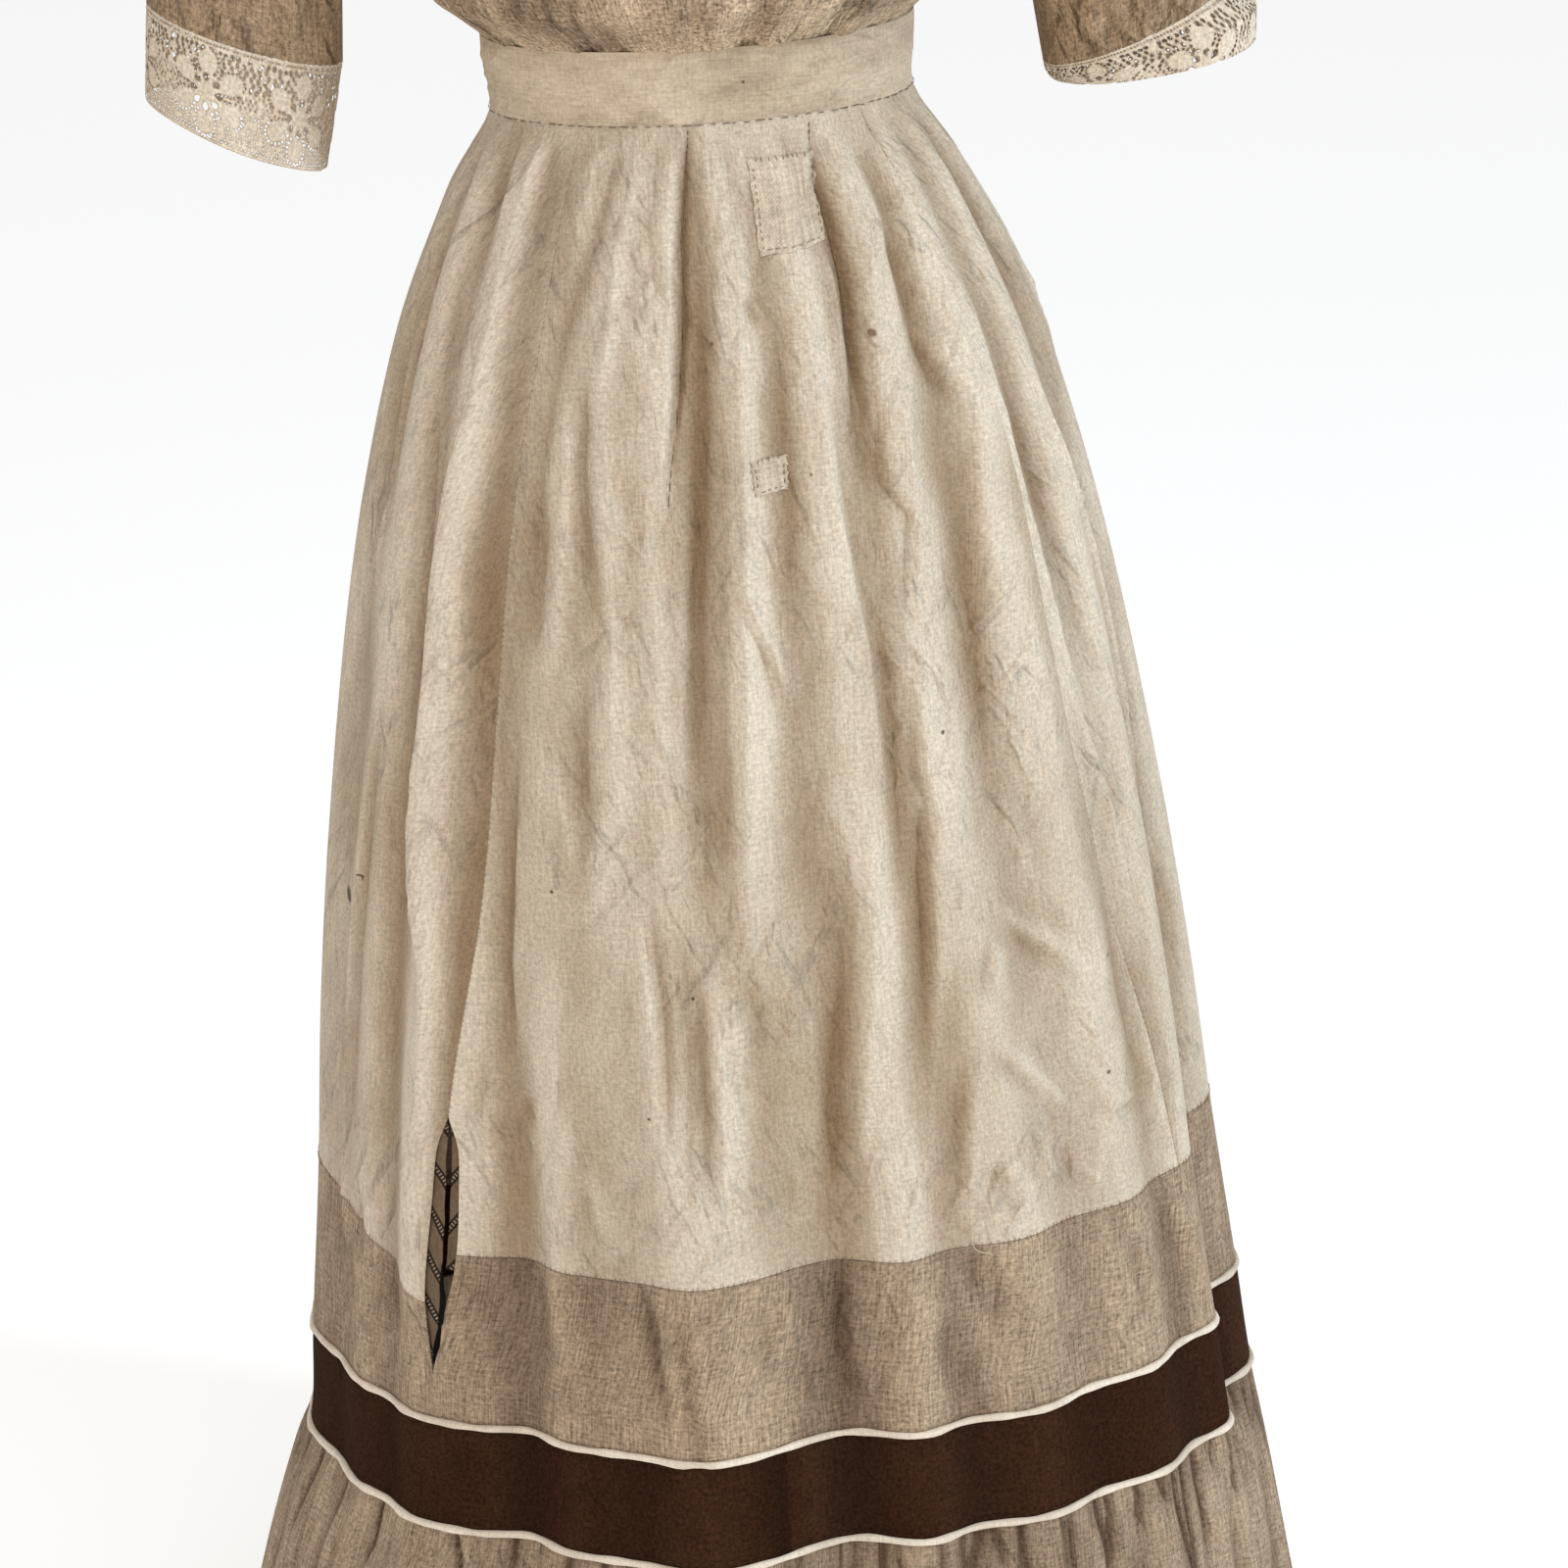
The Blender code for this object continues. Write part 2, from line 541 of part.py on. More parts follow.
def build_patches():
    """Each patch has the gore's own rows and columns inside it, so that it lies on its faces."""
    for name, patch in PATCHES.items():
        top, bottom = patch["drops"]
        drops = [top] + [drop for drop in GORE_DROPS if top < drop < bottom] + [bottom]
        low = max(patch["top"][0], patch["bottom"][0]) + PATCH_STRIP
        high = min(patch["top"][1], patch["bottom"][1]) - PATCH_STRIP
        kept = [
            index
            for index in range(1, GORE_COLUMNS["front"])
            if all(low < front_gore_cell(drop)[2][index] < high for drop in drops)
        ]

        def place(column, row, patch=patch, drops=drops, kept=kept):
            drop = drops[row]
            down = (drop - drops[0]) / (drops[-1] - drops[0])
            if column == 0:
                angle = blend(patch["top"][0], patch["bottom"][0], down)
            elif column == len(kept) + 1:
                angle = blend(patch["top"][1], patch["bottom"][1], down)
            else:
                angle = front_gore_cell(drop)[2][kept[column - 1]]
            return on_front_gore(angle, drop, PATCH_LIFT + PATCH_WALL)

        make_sheet(name, len(kept) + 1, len(drops) - 1, place, PATCH_LINEN, PATCH_WALL)


def crest_z(x):
    """Height of the shoulder line at a distance from the middle, level across the neck."""
    return blend(NECK_Z, TIP_Z, max(abs(x) - NECK_X, 0.0) / (TIP_X - NECK_X))


def body_half(z):
    return read(BODY_PROFILE, "height", "side", z - BODY_BASE_Z)


def body_point(x, z, facing):
    """A point on the bodice: across and up are given, the depth follows the body's sections."""
    depth = read(BODY_PROFILE, "height", facing, z - BODY_BASE_Z)
    depth *= math.sqrt(max(1.0 - (x / body_half(z)) ** 2, 0.0))
    if z > ROUNDING_Z:
        lean = (z - ROUNDING_Z) / (crest_z(x) - ROUNDING_Z)
        depth *= math.sqrt(max(1.0 - min(lean, 1.0) ** LEAN_POWER, 0.0))
    depth = max(depth, SIDE_GAP / 2)
    return Vector((x, -depth if facing == "front" else depth, z))


def side_turn(share):
    """Angle of the armhole's edge at a share of its height; 90 degrees at the side seam."""
    if share <= 0:
        return math.pi / 2
    z = blend(UNDERARM_Z, TIP_Z, share)
    wide = blend(body_half(UNDERARM_Z), TIP_X, ease(share))
    wide -= ARMHOLE_INSET * math.sin(math.pi * share**ARMHOLE_SKEW)
    return math.asin(wide / body_half(z))


def column_turn(degrees, share):
    """Angle of a column above the underarm; the armhole draws in the outer columns the most."""
    drawn = (math.pi / 2 - side_turn(share)) * (degrees / 90.0) ** 2
    return math.radians(degrees) - math.copysign(drawn, degrees)


def neck_degrees():
    """The column that ends where the neckline meets the shoulder line."""
    wanted = math.asin(NECK_X / body_half(NECK_Z))
    drawn = (math.pi / 2 - side_turn(1.0)) / (math.pi / 2) ** 2
    return math.degrees((1.0 - math.sqrt(1.0 - 4.0 * drawn * wanted)) / (2.0 * drawn))


def top_z(degrees, facing):
    """Where a column ends: on the neckline near the middle, on the shoulder line outside it."""
    turn = column_turn(abs(degrees), 1.0)
    if abs(degrees) >= neck_degrees() - 1e-6:
        reach = body_half(NECK_Z) * math.sin(turn)
        for _step in range(4):
            reach = body_half(crest_z(reach)) * math.sin(turn)
        return crest_z(reach)
    low = FRONT_NECK_Z if facing == "front" else BACK_NECK_Z
    share = abs(degrees) / neck_degrees()
    return NECK_Z - (NECK_Z - low) * math.sqrt(1.0 - share**2)


def bodice_point(degrees, row, facing):
    """A point of the bodice's grid, by column angle and row number from the waist up."""
    if row < len(LOWER_ROWS):
        z = blend(BODY_BASE_Z + SEAM_GAP, UNDERARM_Z, LOWER_ROWS[row])
        return body_point(body_half(z) * math.sin(math.radians(degrees)), z, facing)
    end = top_z(degrees, facing)
    shares = ARMHOLE_ROWS + (1.0, 1.0)
    share = shares[row - len(LOWER_ROWS)]
    z = blend(UNDERARM_Z, end, share)
    if row == len(LOWER_ROWS) + len(ARMHOLE_ROWS):
        z = end - (CREST_STRIP if abs(degrees) >= neck_degrees() - 1e-6 else NECK_STRIP)
    point = body_point(body_half(z) * math.sin(column_turn(degrees, share)), z, facing)
    sign = -1 if facing == "front" else 1
    if row == BODY_ROWS - 1:
        point.y = sign * max(abs(point.y), CREST_DEPTH)
    if row == BODY_ROWS and abs(abs(degrees) - neck_degrees()) < 1e-6:
        point.y = sign * NECK_NOTCH
    return point


BODY_ROWS = len(LOWER_ROWS) + len(ARMHOLE_ROWS) + 1


def build_bodice():
    panels = (
        ("bodice_front", FRONT_COLUMNS, 1, "front"),
        ("bodice_side_right", SIDE_COLUMNS, 1, "front"),
        ("bodice_side_left", SIDE_COLUMNS, -1, "front"),
        ("bodice_back_right", BACK_COLUMNS, 1, "back"),
        ("bodice_back_left", BACK_COLUMNS, -1, "back"),
    )
    neck = neck_degrees()
    for name, table, sign, facing in panels:
        last = len(table) - 1
        degrees = [
            (neck if index * 2 > last or table[0] == 0 else -neck) if value is None else value
            for index, value in enumerate(table)
        ]
        degrees = [sign * value for value in degrees]
        if (sign < 0) != (facing == "back"):
            degrees.reverse()

        def place(column, row, degrees=degrees, facing=facing, last=last):
            point = bodice_point(degrees[column], BODY_ROWS - row, facing)
            for edge, step in ((0, 1), (last, -1)):
                if column == edge and abs(abs(degrees[edge]) - 90.0) > 1e-6:
                    toward = bodice_point(degrees[column + step], BODY_ROWS - row, facing) - point
                    point = point + toward.normalized() * (SEAM_GAP / 2)
            return point

        make_sheet(name, last, BODY_ROWS, place, BODICE_LINEN)


def armhole_ring(sign):
    """The bodice's armhole edge, from the shoulder tip round the front and back up behind."""
    top = BODY_ROWS
    bottom = len(LOWER_ROWS) - 1
    ring = []
    for facing, rows in (("front", range(top, bottom, -1)), ("back", range(bottom, top))):
        for row in rows:
            ring.append(bodice_point(sign * 90.0, row, facing))
    ring[0].y = 0.0
    ring[top - bottom].y = 0.0
    return ring


def ring_turns():
    """Angles of the sleeve's columns round its rings, spaced as on the armhole."""
    shares = (0.0,) + ARMHOLE_ROWS + (0.995,)
    half = [math.degrees(math.acos(2 * share - 1)) for share in reversed(shares)]
    return [0.0] + half + [360.0 - turn for turn in reversed(half[:-1])]


def sleeve_point(side, ring, turn):
    """A point on a sleeve or cuff; ring may lie between two rows of the table."""
    table = SLEEVES[side]
    low = max(index for index in range(len(table) - 1) if table[index].at <= ring)
    share = (ring - table[low].at) / (table[low + 1].at - table[low].at)
    here = Ring(*(blend(a, b, share) for a, b in zip(table[low], table[low + 1])))
    sign = -1 if side == "left" else 1
    lift = math.radians(here.lift)
    outer = Vector((sign * math.cos(lift), 0, math.sin(lift)))
    angle = math.radians(turn)
    across = outer * here.half_width * math.cos(angle)
    return Vector((sign * here.x, -here.half_depth * math.sin(angle), here.z)) + across


def build_sleeves():
    for side, sign in (("left", -1), ("right", 1)):
        armhole = armhole_ring(sign)
        turns = ring_turns()
        count = len(turns)

        def place(column, row, side=side, sign=sign, armhole=armhole, turns=turns, count=count):
            index = column if sign < 0 else (count - column) % count
            if row < 2:
                step = SLEEVE_STRIP if row else SEAM_GAP
                return armhole[index] + Vector((sign * step, 0, 0))
            return sleeve_point(side, row - 2, turns[index])

        make_sheet("sleeve_" + side, count, CUFF_RING + 2, place, BODICE_LINEN, around=True)


def lace_point(side, share, down, begin):
    """A point of a cuff; the square block of cells round a wheel is drawn in to a round one."""
    repeat = math.floor(share)
    x = (share - repeat - WHEEL_MIDDLE[0]) / WHEEL_REACH[0]
    y = (down - WHEEL_MIDDLE[1]) / WHEEL_REACH[1]
    if 0 < max(abs(x), abs(y)) <= WHEEL_EDGE:
        drawn = (max(abs(x), abs(y)) / math.hypot(x, y)) ** WHEEL_ROUNDING
        x *= drawn
        y *= drawn
    share = repeat + WHEEL_MIDDLE[0] + x * WHEEL_REACH[0]
    down = WHEEL_MIDDLE[1] + y * WHEEL_REACH[1]
    ring = CUFF_RING + blend(LACE_TOP[side], 1.0, down)
    turn = begin + share * 360.0 / LACE_REPEATS
    return sleeve_point(side, ring, turn if side == "left" else -turn)


def build_lace():
    """Each cuff is two pieces of three repeats, with the largest holes of each wheel cut through."""
    repeats = LACE_REPEATS // 2
    step = len(LACE_COLUMNS)
    columns = repeats * step
    open_cells = [(a, b) for a in (1, 3, 5) for b in (1, 3, 5) if (a, b) != (3, 3)]
    holes = [(repeat * step + a, b) for repeat in range(repeats) for a, b in open_cells]
    for side in ("left", "right"):
        for half in ("outer", "inner"):
            start = LACE_START + (0.0 if half == "outer" else HALF_CUFF)
            if side == "right":
                start = -start - HALF_CUFF

            def place(column, row, side=side, start=start):
                repeat, cell = divmod(column, step)
                share = repeat + LACE_COLUMNS[cell]
                clear = LACE_REPEATS * LACE_GAP / 2 / CUFF_ROUND
                if column == 0:
                    share += clear
                if column == columns:
                    share -= clear
                return lace_point(side, share, LACE_ROWS[row], start)

            name = "lace_" + side + "_" + half
            make_sheet(name, columns, len(LACE_ROWS) - 1, place, LACE_THREAD, LACE, holes=holes)


def build_binding():
    """A round binding on the neckline's edge."""
    neck = neck_degrees()
    loop = [(-neck, "front")]
    loop += [(degrees, "front") for degrees in FRONT_COLUMNS[2:-2]]
    loop += [(neck, "front")]
    loop += [(degrees, "back") for degrees in (BACK_COLUMNS[2], 0.0, -BACK_COLUMNS[2])]
    edge = [bodice_point(degrees, BODY_ROWS, facing) for degrees, facing in loop]
    below = [bodice_point(degrees, BODY_ROWS - 1, facing) for degrees, facing in loop]
    count = len(loop)
    points = []
    for index in range(count):
        upwards = (edge[index] - below[index]).normalized()
        if abs(loop[index][0]) == neck:
            upwards = Vector((-math.copysign(BINDING_LEAN, loop[index][0]), 0, 1))
        along = (edge[(index + 1) % count] - edge[index - 1]).normalized()
        upwards = (upwards - along * upwards.dot(along)).normalized()
        outwards = along.cross(upwards)
        points.append(edge[index] - outwards * (CLOTH / 2) + upwards * (BINDING_RADIUS + BINDING_ROOM))
    make_cord("neck_binding", points, BINDING_RADIUS, BODICE_LINEN, 1)


def on_back(x, z):
    """A point on the flat faces of the right back panel, beside the centre back, and its normal."""
    for row in range(1, BODY_ROWS):
        low = [bodice_point(degrees, row, "back") for degrees in BACK_COLUMNS[:2]]
        high = [bodice_point(degrees, row + 1, "back") for degrees in BACK_COLUMNS[:2]]
        below = low[0].lerp(low[1], x / low[1].x)
        above = high[0].lerp(high[1], x / high[1].x)
        if below.z <= z <= above.z:
            break
    normal = (low[0] - low[1]).cross(high[1] - low[1]).normalized()
    if normal.y < 0:
        normal.negate()
    return below.lerp(above, (z - below.z) / (above.z - below.z)), normal


def build_buttons():
    for index in range(BUTTONS):
        z = blend(BUTTON_TOP_Z, BUTTON_BOTTOM_Z, index / (BUTTONS - 1))
        point, normal = on_back(BUTTON_X, z)
        shape = bmesh.new()
        bmesh.ops.create_cone(
            shape,
            cap_ends=True,
            segments=BUTTON_SIDES,
            radius1=BUTTON_RADIUS,
            radius2=BUTTON_FACE,
            depth=BUTTON_WALL,
        )
        mesh = bpy.data.meshes.new("button")
        shape.to_mesh(mesh)
        shape.free()
        button = finish("button_" + str(index + 1), mesh, BUTTON_SHELL)
        mesh.set_sharp_from_angle(angle=math.radians(40))
        button.rotation_euler = normal.to_track_quat("Z", "Y").to_euler()
        button.location = point + normal * (BUTTON_WALL / 2 + BUTTON_LIFT)


def make_cord(name, points, radius, material, resolution=0):
    """A round cord through points, closed to a loop."""
    curve = bpy.data.curves.new(name, "CURVE")
    curve.dimensions = "3D"
    curve.bevel_depth = radius
    curve.bevel_resolution = resolution
    line = curve.splines.new("POLY")
    line.points.add(len(points) - 1)
    for slot, point in zip(line.points, points):
        slot.co = (*point, 1.0)
    line.use_cyclic_u = True
    curve.materials.append(material)
    dress.objects.link(bpy.data.objects.new(name, curve))


build_bodice()
build_sleeves()
build_lace()
build_binding()
build_buttons()
build_waistband()
build_gores()
build_facings()
build_patches()
build_tan_band()
build_brown_band()
build_pipings()
build_flounce()
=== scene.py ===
import math
import random

import bpy
import numpy as np
from mathutils import Matrix, Vector


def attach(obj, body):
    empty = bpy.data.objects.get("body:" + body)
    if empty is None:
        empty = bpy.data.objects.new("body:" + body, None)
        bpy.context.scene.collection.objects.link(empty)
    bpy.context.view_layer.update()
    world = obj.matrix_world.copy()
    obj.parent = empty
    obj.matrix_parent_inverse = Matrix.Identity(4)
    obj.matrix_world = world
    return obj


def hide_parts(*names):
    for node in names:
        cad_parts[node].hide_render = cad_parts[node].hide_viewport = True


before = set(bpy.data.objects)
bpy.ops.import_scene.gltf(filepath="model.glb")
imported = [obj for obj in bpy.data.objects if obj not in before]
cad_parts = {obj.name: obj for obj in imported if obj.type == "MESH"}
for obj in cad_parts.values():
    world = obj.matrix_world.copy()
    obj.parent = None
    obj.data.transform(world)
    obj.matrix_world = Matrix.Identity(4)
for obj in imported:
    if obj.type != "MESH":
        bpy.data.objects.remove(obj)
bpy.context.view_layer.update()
bpy.ops.object.select_all(action="DESELECT")
print("frame loaded")


def placed(name, data):
    thing = bpy.data.objects.new(name, data)
    bpy.context.scene.collection.objects.link(thing)
    return thing


# camera, first of all, at the height and tilt of the picture
viewpoint = {
    "place": (-0.0447, -2.917, 0.169),
    "down": 18.87,
    "turn": 1.35,
    "roll": -3.35,
    "lens": 119.15,
    "sensor": 36,
}


def makeCamera():
    down, turn, roll = (math.radians(viewpoint[key]) for key in ("down", "turn", "roll"))
    ahead = Vector((math.sin(turn) * math.cos(down), math.cos(turn) * math.cos(down), -math.sin(down)))
    level = Vector((math.cos(turn), -math.sin(turn), 0))
    upright = level.cross(ahead)
    right = level * math.cos(roll) + upright * math.sin(roll)
    up = upright * math.cos(roll) - level * math.sin(roll)
    camera = placed("camera", bpy.data.cameras.new("camera"))
    camera.data.lens = viewpoint["lens"]
    camera.data.sensor_width = viewpoint["sensor"]
    camera.matrix_world = Matrix((
        (right.x, up.x, -ahead.x, viewpoint["place"][0]),
        (right.y, up.y, -ahead.y, viewpoint["place"][1]),
        (right.z, up.z, -ahead.z, viewpoint["place"][2]),
        (0, 0, 0, 1),
    ))
    bpy.context.scene.camera = camera


makeCamera()

# curves through short tables


def readCurve(keys, values, at):
    keys, values = np.asarray(keys, float), np.asarray(values, float)
    at = np.clip(at, keys[0], keys[-1])
    row = np.clip(np.searchsorted(keys, at, side="right") - 1, 0, len(keys) - 2)
    slope = np.empty(len(keys))
    slope[1:-1] = (values[2:] - values[:-2]) / (keys[2:] - keys[:-2])
    slope[0] = (values[1] - values[0]) / (keys[1] - keys[0])
    slope[-1] = (values[-1] - values[-2]) / (keys[-1] - keys[-2])
    span = keys[row + 1] - keys[row]
    t = (at - keys[row]) / span
    return (
        (2 * t**3 - 3 * t**2 + 1) * values[row]
        + (t**3 - 2 * t**2 + t) * span * slope[row]
        + (3 * t**2 - 2 * t**3) * values[row + 1]
        + (t**3 - t**2) * span * slope[row + 1]
    )


def ease(share):
    share = np.clip(share, 0.0, 1.0)
    return share * share * (3 - 2 * share)


def blend(low, high, share):
    return low + (high - low) * share


# the parts of a step along a direction and across it
def turnedTo(du, dv, turn):
    return du * math.cos(turn) + dv * math.sin(turn), -du * math.sin(turn) + dv * math.cos(turn)


# the skirt's form, in its own sizes: angle from the front in degrees, drop from the waistband in metres
skirt = {
    "waistZ": -0.410,
    "bandHeight": 0.042,
    "seamDrop": 0.630,
    "upperPiping": 0.734,
    "lowerPiping": 0.799,
    "hemDrop": 1.000,
    # drop, half width, half depth in front and behind, shift of the middle
    "sections": (
        (-0.042, 0.1230, 0.0960, 0.0960, 0),
        (0.000, 0.1200, 0.0915, 0.0930, 0),
        (0.025, 0.1330, 0.1030, 0.1090, 0),
        (0.050, 0.1480, 0.1170, 0.1260, 0),
        (0.124, 0.1810, 0.1490, 0.1610, 0),
        (0.210, 0.2060, 0.1770, 0.1890, 0),
        (0.300, 0.2250, 0.1970, 0.2090, 0),
        (0.430, 0.2460, 0.2180, 0.2310, 0),
        (0.525, 0.2580, 0.2300, 0.2440, 0),
        (0.630, 0.2680, 0.2395, 0.2540, 0),
        (0.734, 0.2800, 0.2490, 0.2640, 0),
        (0.799, 0.2870, 0.2550, 0.2710, 0),
        (0.850, 0.3020, 0.2690, 0.2860, -0.006),
        (0.925, 0.3200, 0.2850, 0.3030, -0.013),
        (1.000, 0.3350, 0.2980, 0.3170, -0.017),
    ),
    "foldStart": 0.045,
    "foldMiddle": 0.300,
    "hemShare": 1.25,
    # folds are softer by a share between two drops, each with the length over which it comes or goes
    "foldSofter": (0.16, 0.0, 0.12, 0.46, 0.14),
    "smoothBand": (0.62, 0.645, 0.07, 0.81, 0.08),
    "smoothAngle": (-48.0, 10.0),
    "creaseStart": 0.012,
    "creaseSize": 1.18,
    "backSize": 0.9,
    "backFrom": 84,
    "hollowReach": 0.028,
    "hollowDepth": 0.0065,
}
skirtColumns = dict(zip(("drop", "side", "front", "back", "middle"), zip(*skirt["sections"])))

# the main folds: angle at the waist, the middle and the seam; height there in mm; half width in degrees
skirtFolds = (
    (-84, -84, -83, 1.5, 3.0, 3.0, 5.0),
    (-75, -73, -71, -2.5, -4.0, -3.0, 4.5),
    (-65, -61, -60, 3.5, 4.5, 2.5, 5.0),
    (-56, -55, -56, -2.5, -5.0, -4.0, 4.5),
    (-48, -47, -49, 4.0, 9.5, 13.0, 5.0),
    (-40, -38, -34, -4.0, -6.0, -12.0, 5.0),
    (-30, -29, -27, 2.5, 3.0, 1.5, 4.5),
    (-22, -21, -19, 4.0, 6.0, 2.5, 4.5),
    (-11, -11, -11, 3.0, 2.5, 12.5, 5.0),
    (-5, -7, 2, -4.5, -4.0, -7.0, 4.5),
    (3, 0, -6, 4.5, 8.5, 4.0, 4.5),
    (9, 8, 8, -2.5, -4.5, -17.0, 5.5),
    (15, 15, 15, 4.0, 6.0, 2.5, 4.5),
    (25, 20, 22, -6.5, -4.5, -7.0, 4.5),
    (33, 26, 32, 5.0, 6.0, 3.5, 5.0),
    (42, 36, 39, -4.0, -6.5, -2.5, 4.5),
    (49, 45, 49, 4.5, 8.0, 7.0, 6.0),
    (57, 55, 56, -2.5, -2.5, -2.0, 4.5),
    (64, 64, 63, 4.0, 6.5, 9.0, 5.5),
    (73, 74, 72, -3.5, -5.0, -12.0, 5.0),
    (83, 83, 83, 2.0, 3.0, 3.5, 5.0),
    (95, 94, 93, -2.5, -4.0, -3.5, 5.0),
    (105, 104, 102, 4.0, 6.0, 5.0, 6.0),
    (116, 115, 114, -4.0, -6.5, -8.0, 5.5),
    (127, 127, 128, 5.0, 8.0, 10.0, 6.5),
    (139, 138, 140, -5.0, -7.0, -9.0, 5.5),
    (149, 150, 151, 5.0, 8.5, 11.0, 6.0),
    (159, 160, 162, -6.0, -8.0, -9.0, 5.5),
    (169, 170, 172, 6.0, 8.0, 9.0, 5.5),
    (180, 181, 183, -5.0, -7.0, -9.5, 5.5),
    (191, 192, 193, 6.0, 8.5, 10.0, 5.5),
    (202, 202, 203, -6.0, -8.0, -8.0, 5.5),
    (212, 213, 215, 5.0, 8.0, 11.5, 6.5),
    (224, 225, 226, -4.5, -6.5, -8.5, 5.5),
    (235, 235, 236, 4.5, 7.0, 8.0, 6.0),
    (247, 247, 246, -4.0, -6.0, -6.5, 6.0),
    (258, 258, 257, 3.0, 5.0, 4.0, 6.0),
)


def turnedBetween(angle):
    return (angle + 180.0) % 360.0 - 180.0


# a share that comes and goes down the skirt
def within(drop, share, start, coming, end, going):
    return share * ease((drop - start) / coming) * (1 - ease((drop - end) / going))


def foldHeight(angle, drop):
    above = np.clip(drop / skirt["foldMiddle"], 0, 1)
    below = np.clip((drop - skirt["foldMiddle"]) / (skirt["seamDrop"] - skirt["foldMiddle"]), 0, 1)
    height = np.zeros(np.broadcast(angle, drop).shape)
    for atWaist, atMiddle, atSeam, waistMm, middleMm, seamMm, halfWidth in skirtFolds:
        centre = blend(atWaist, atMiddle, above) + (atSeam - atMiddle) * below
        size = blend(waistMm, middleMm, above) + (seamMm - middleMm) * ease(below)
        height += size * 0.001 * np.exp(-((turnedBetween(angle - centre) / halfWidth) ** 2))
    lower = ease((drop - skirt["seamDrop"]) / (skirt["hemDrop"] - skirt["seamDrop"]))
    hem = blend(1.0, skirt["hemShare"], lower)
    softer = 1 - within(drop, *skirt["foldSofter"])
    # the band lies smoother beside the slit
    slitAt, besideIt = skirt["smoothAngle"]
    share, *reaches = skirt["smoothBand"]
    beside = np.exp(-((turnedBetween(angle - slitAt) / besideIt) ** 2))
    softer = softer * (1 - within(drop, share * beside, *reaches))
    return height * ease(drop / skirt["foldStart"]) * hem * softer


def inMetres(rows):
    return [(*row[:3], *((angle, drop / 1000) for angle, drop in zip(row[3::2], row[4::2]))) for row in rows]


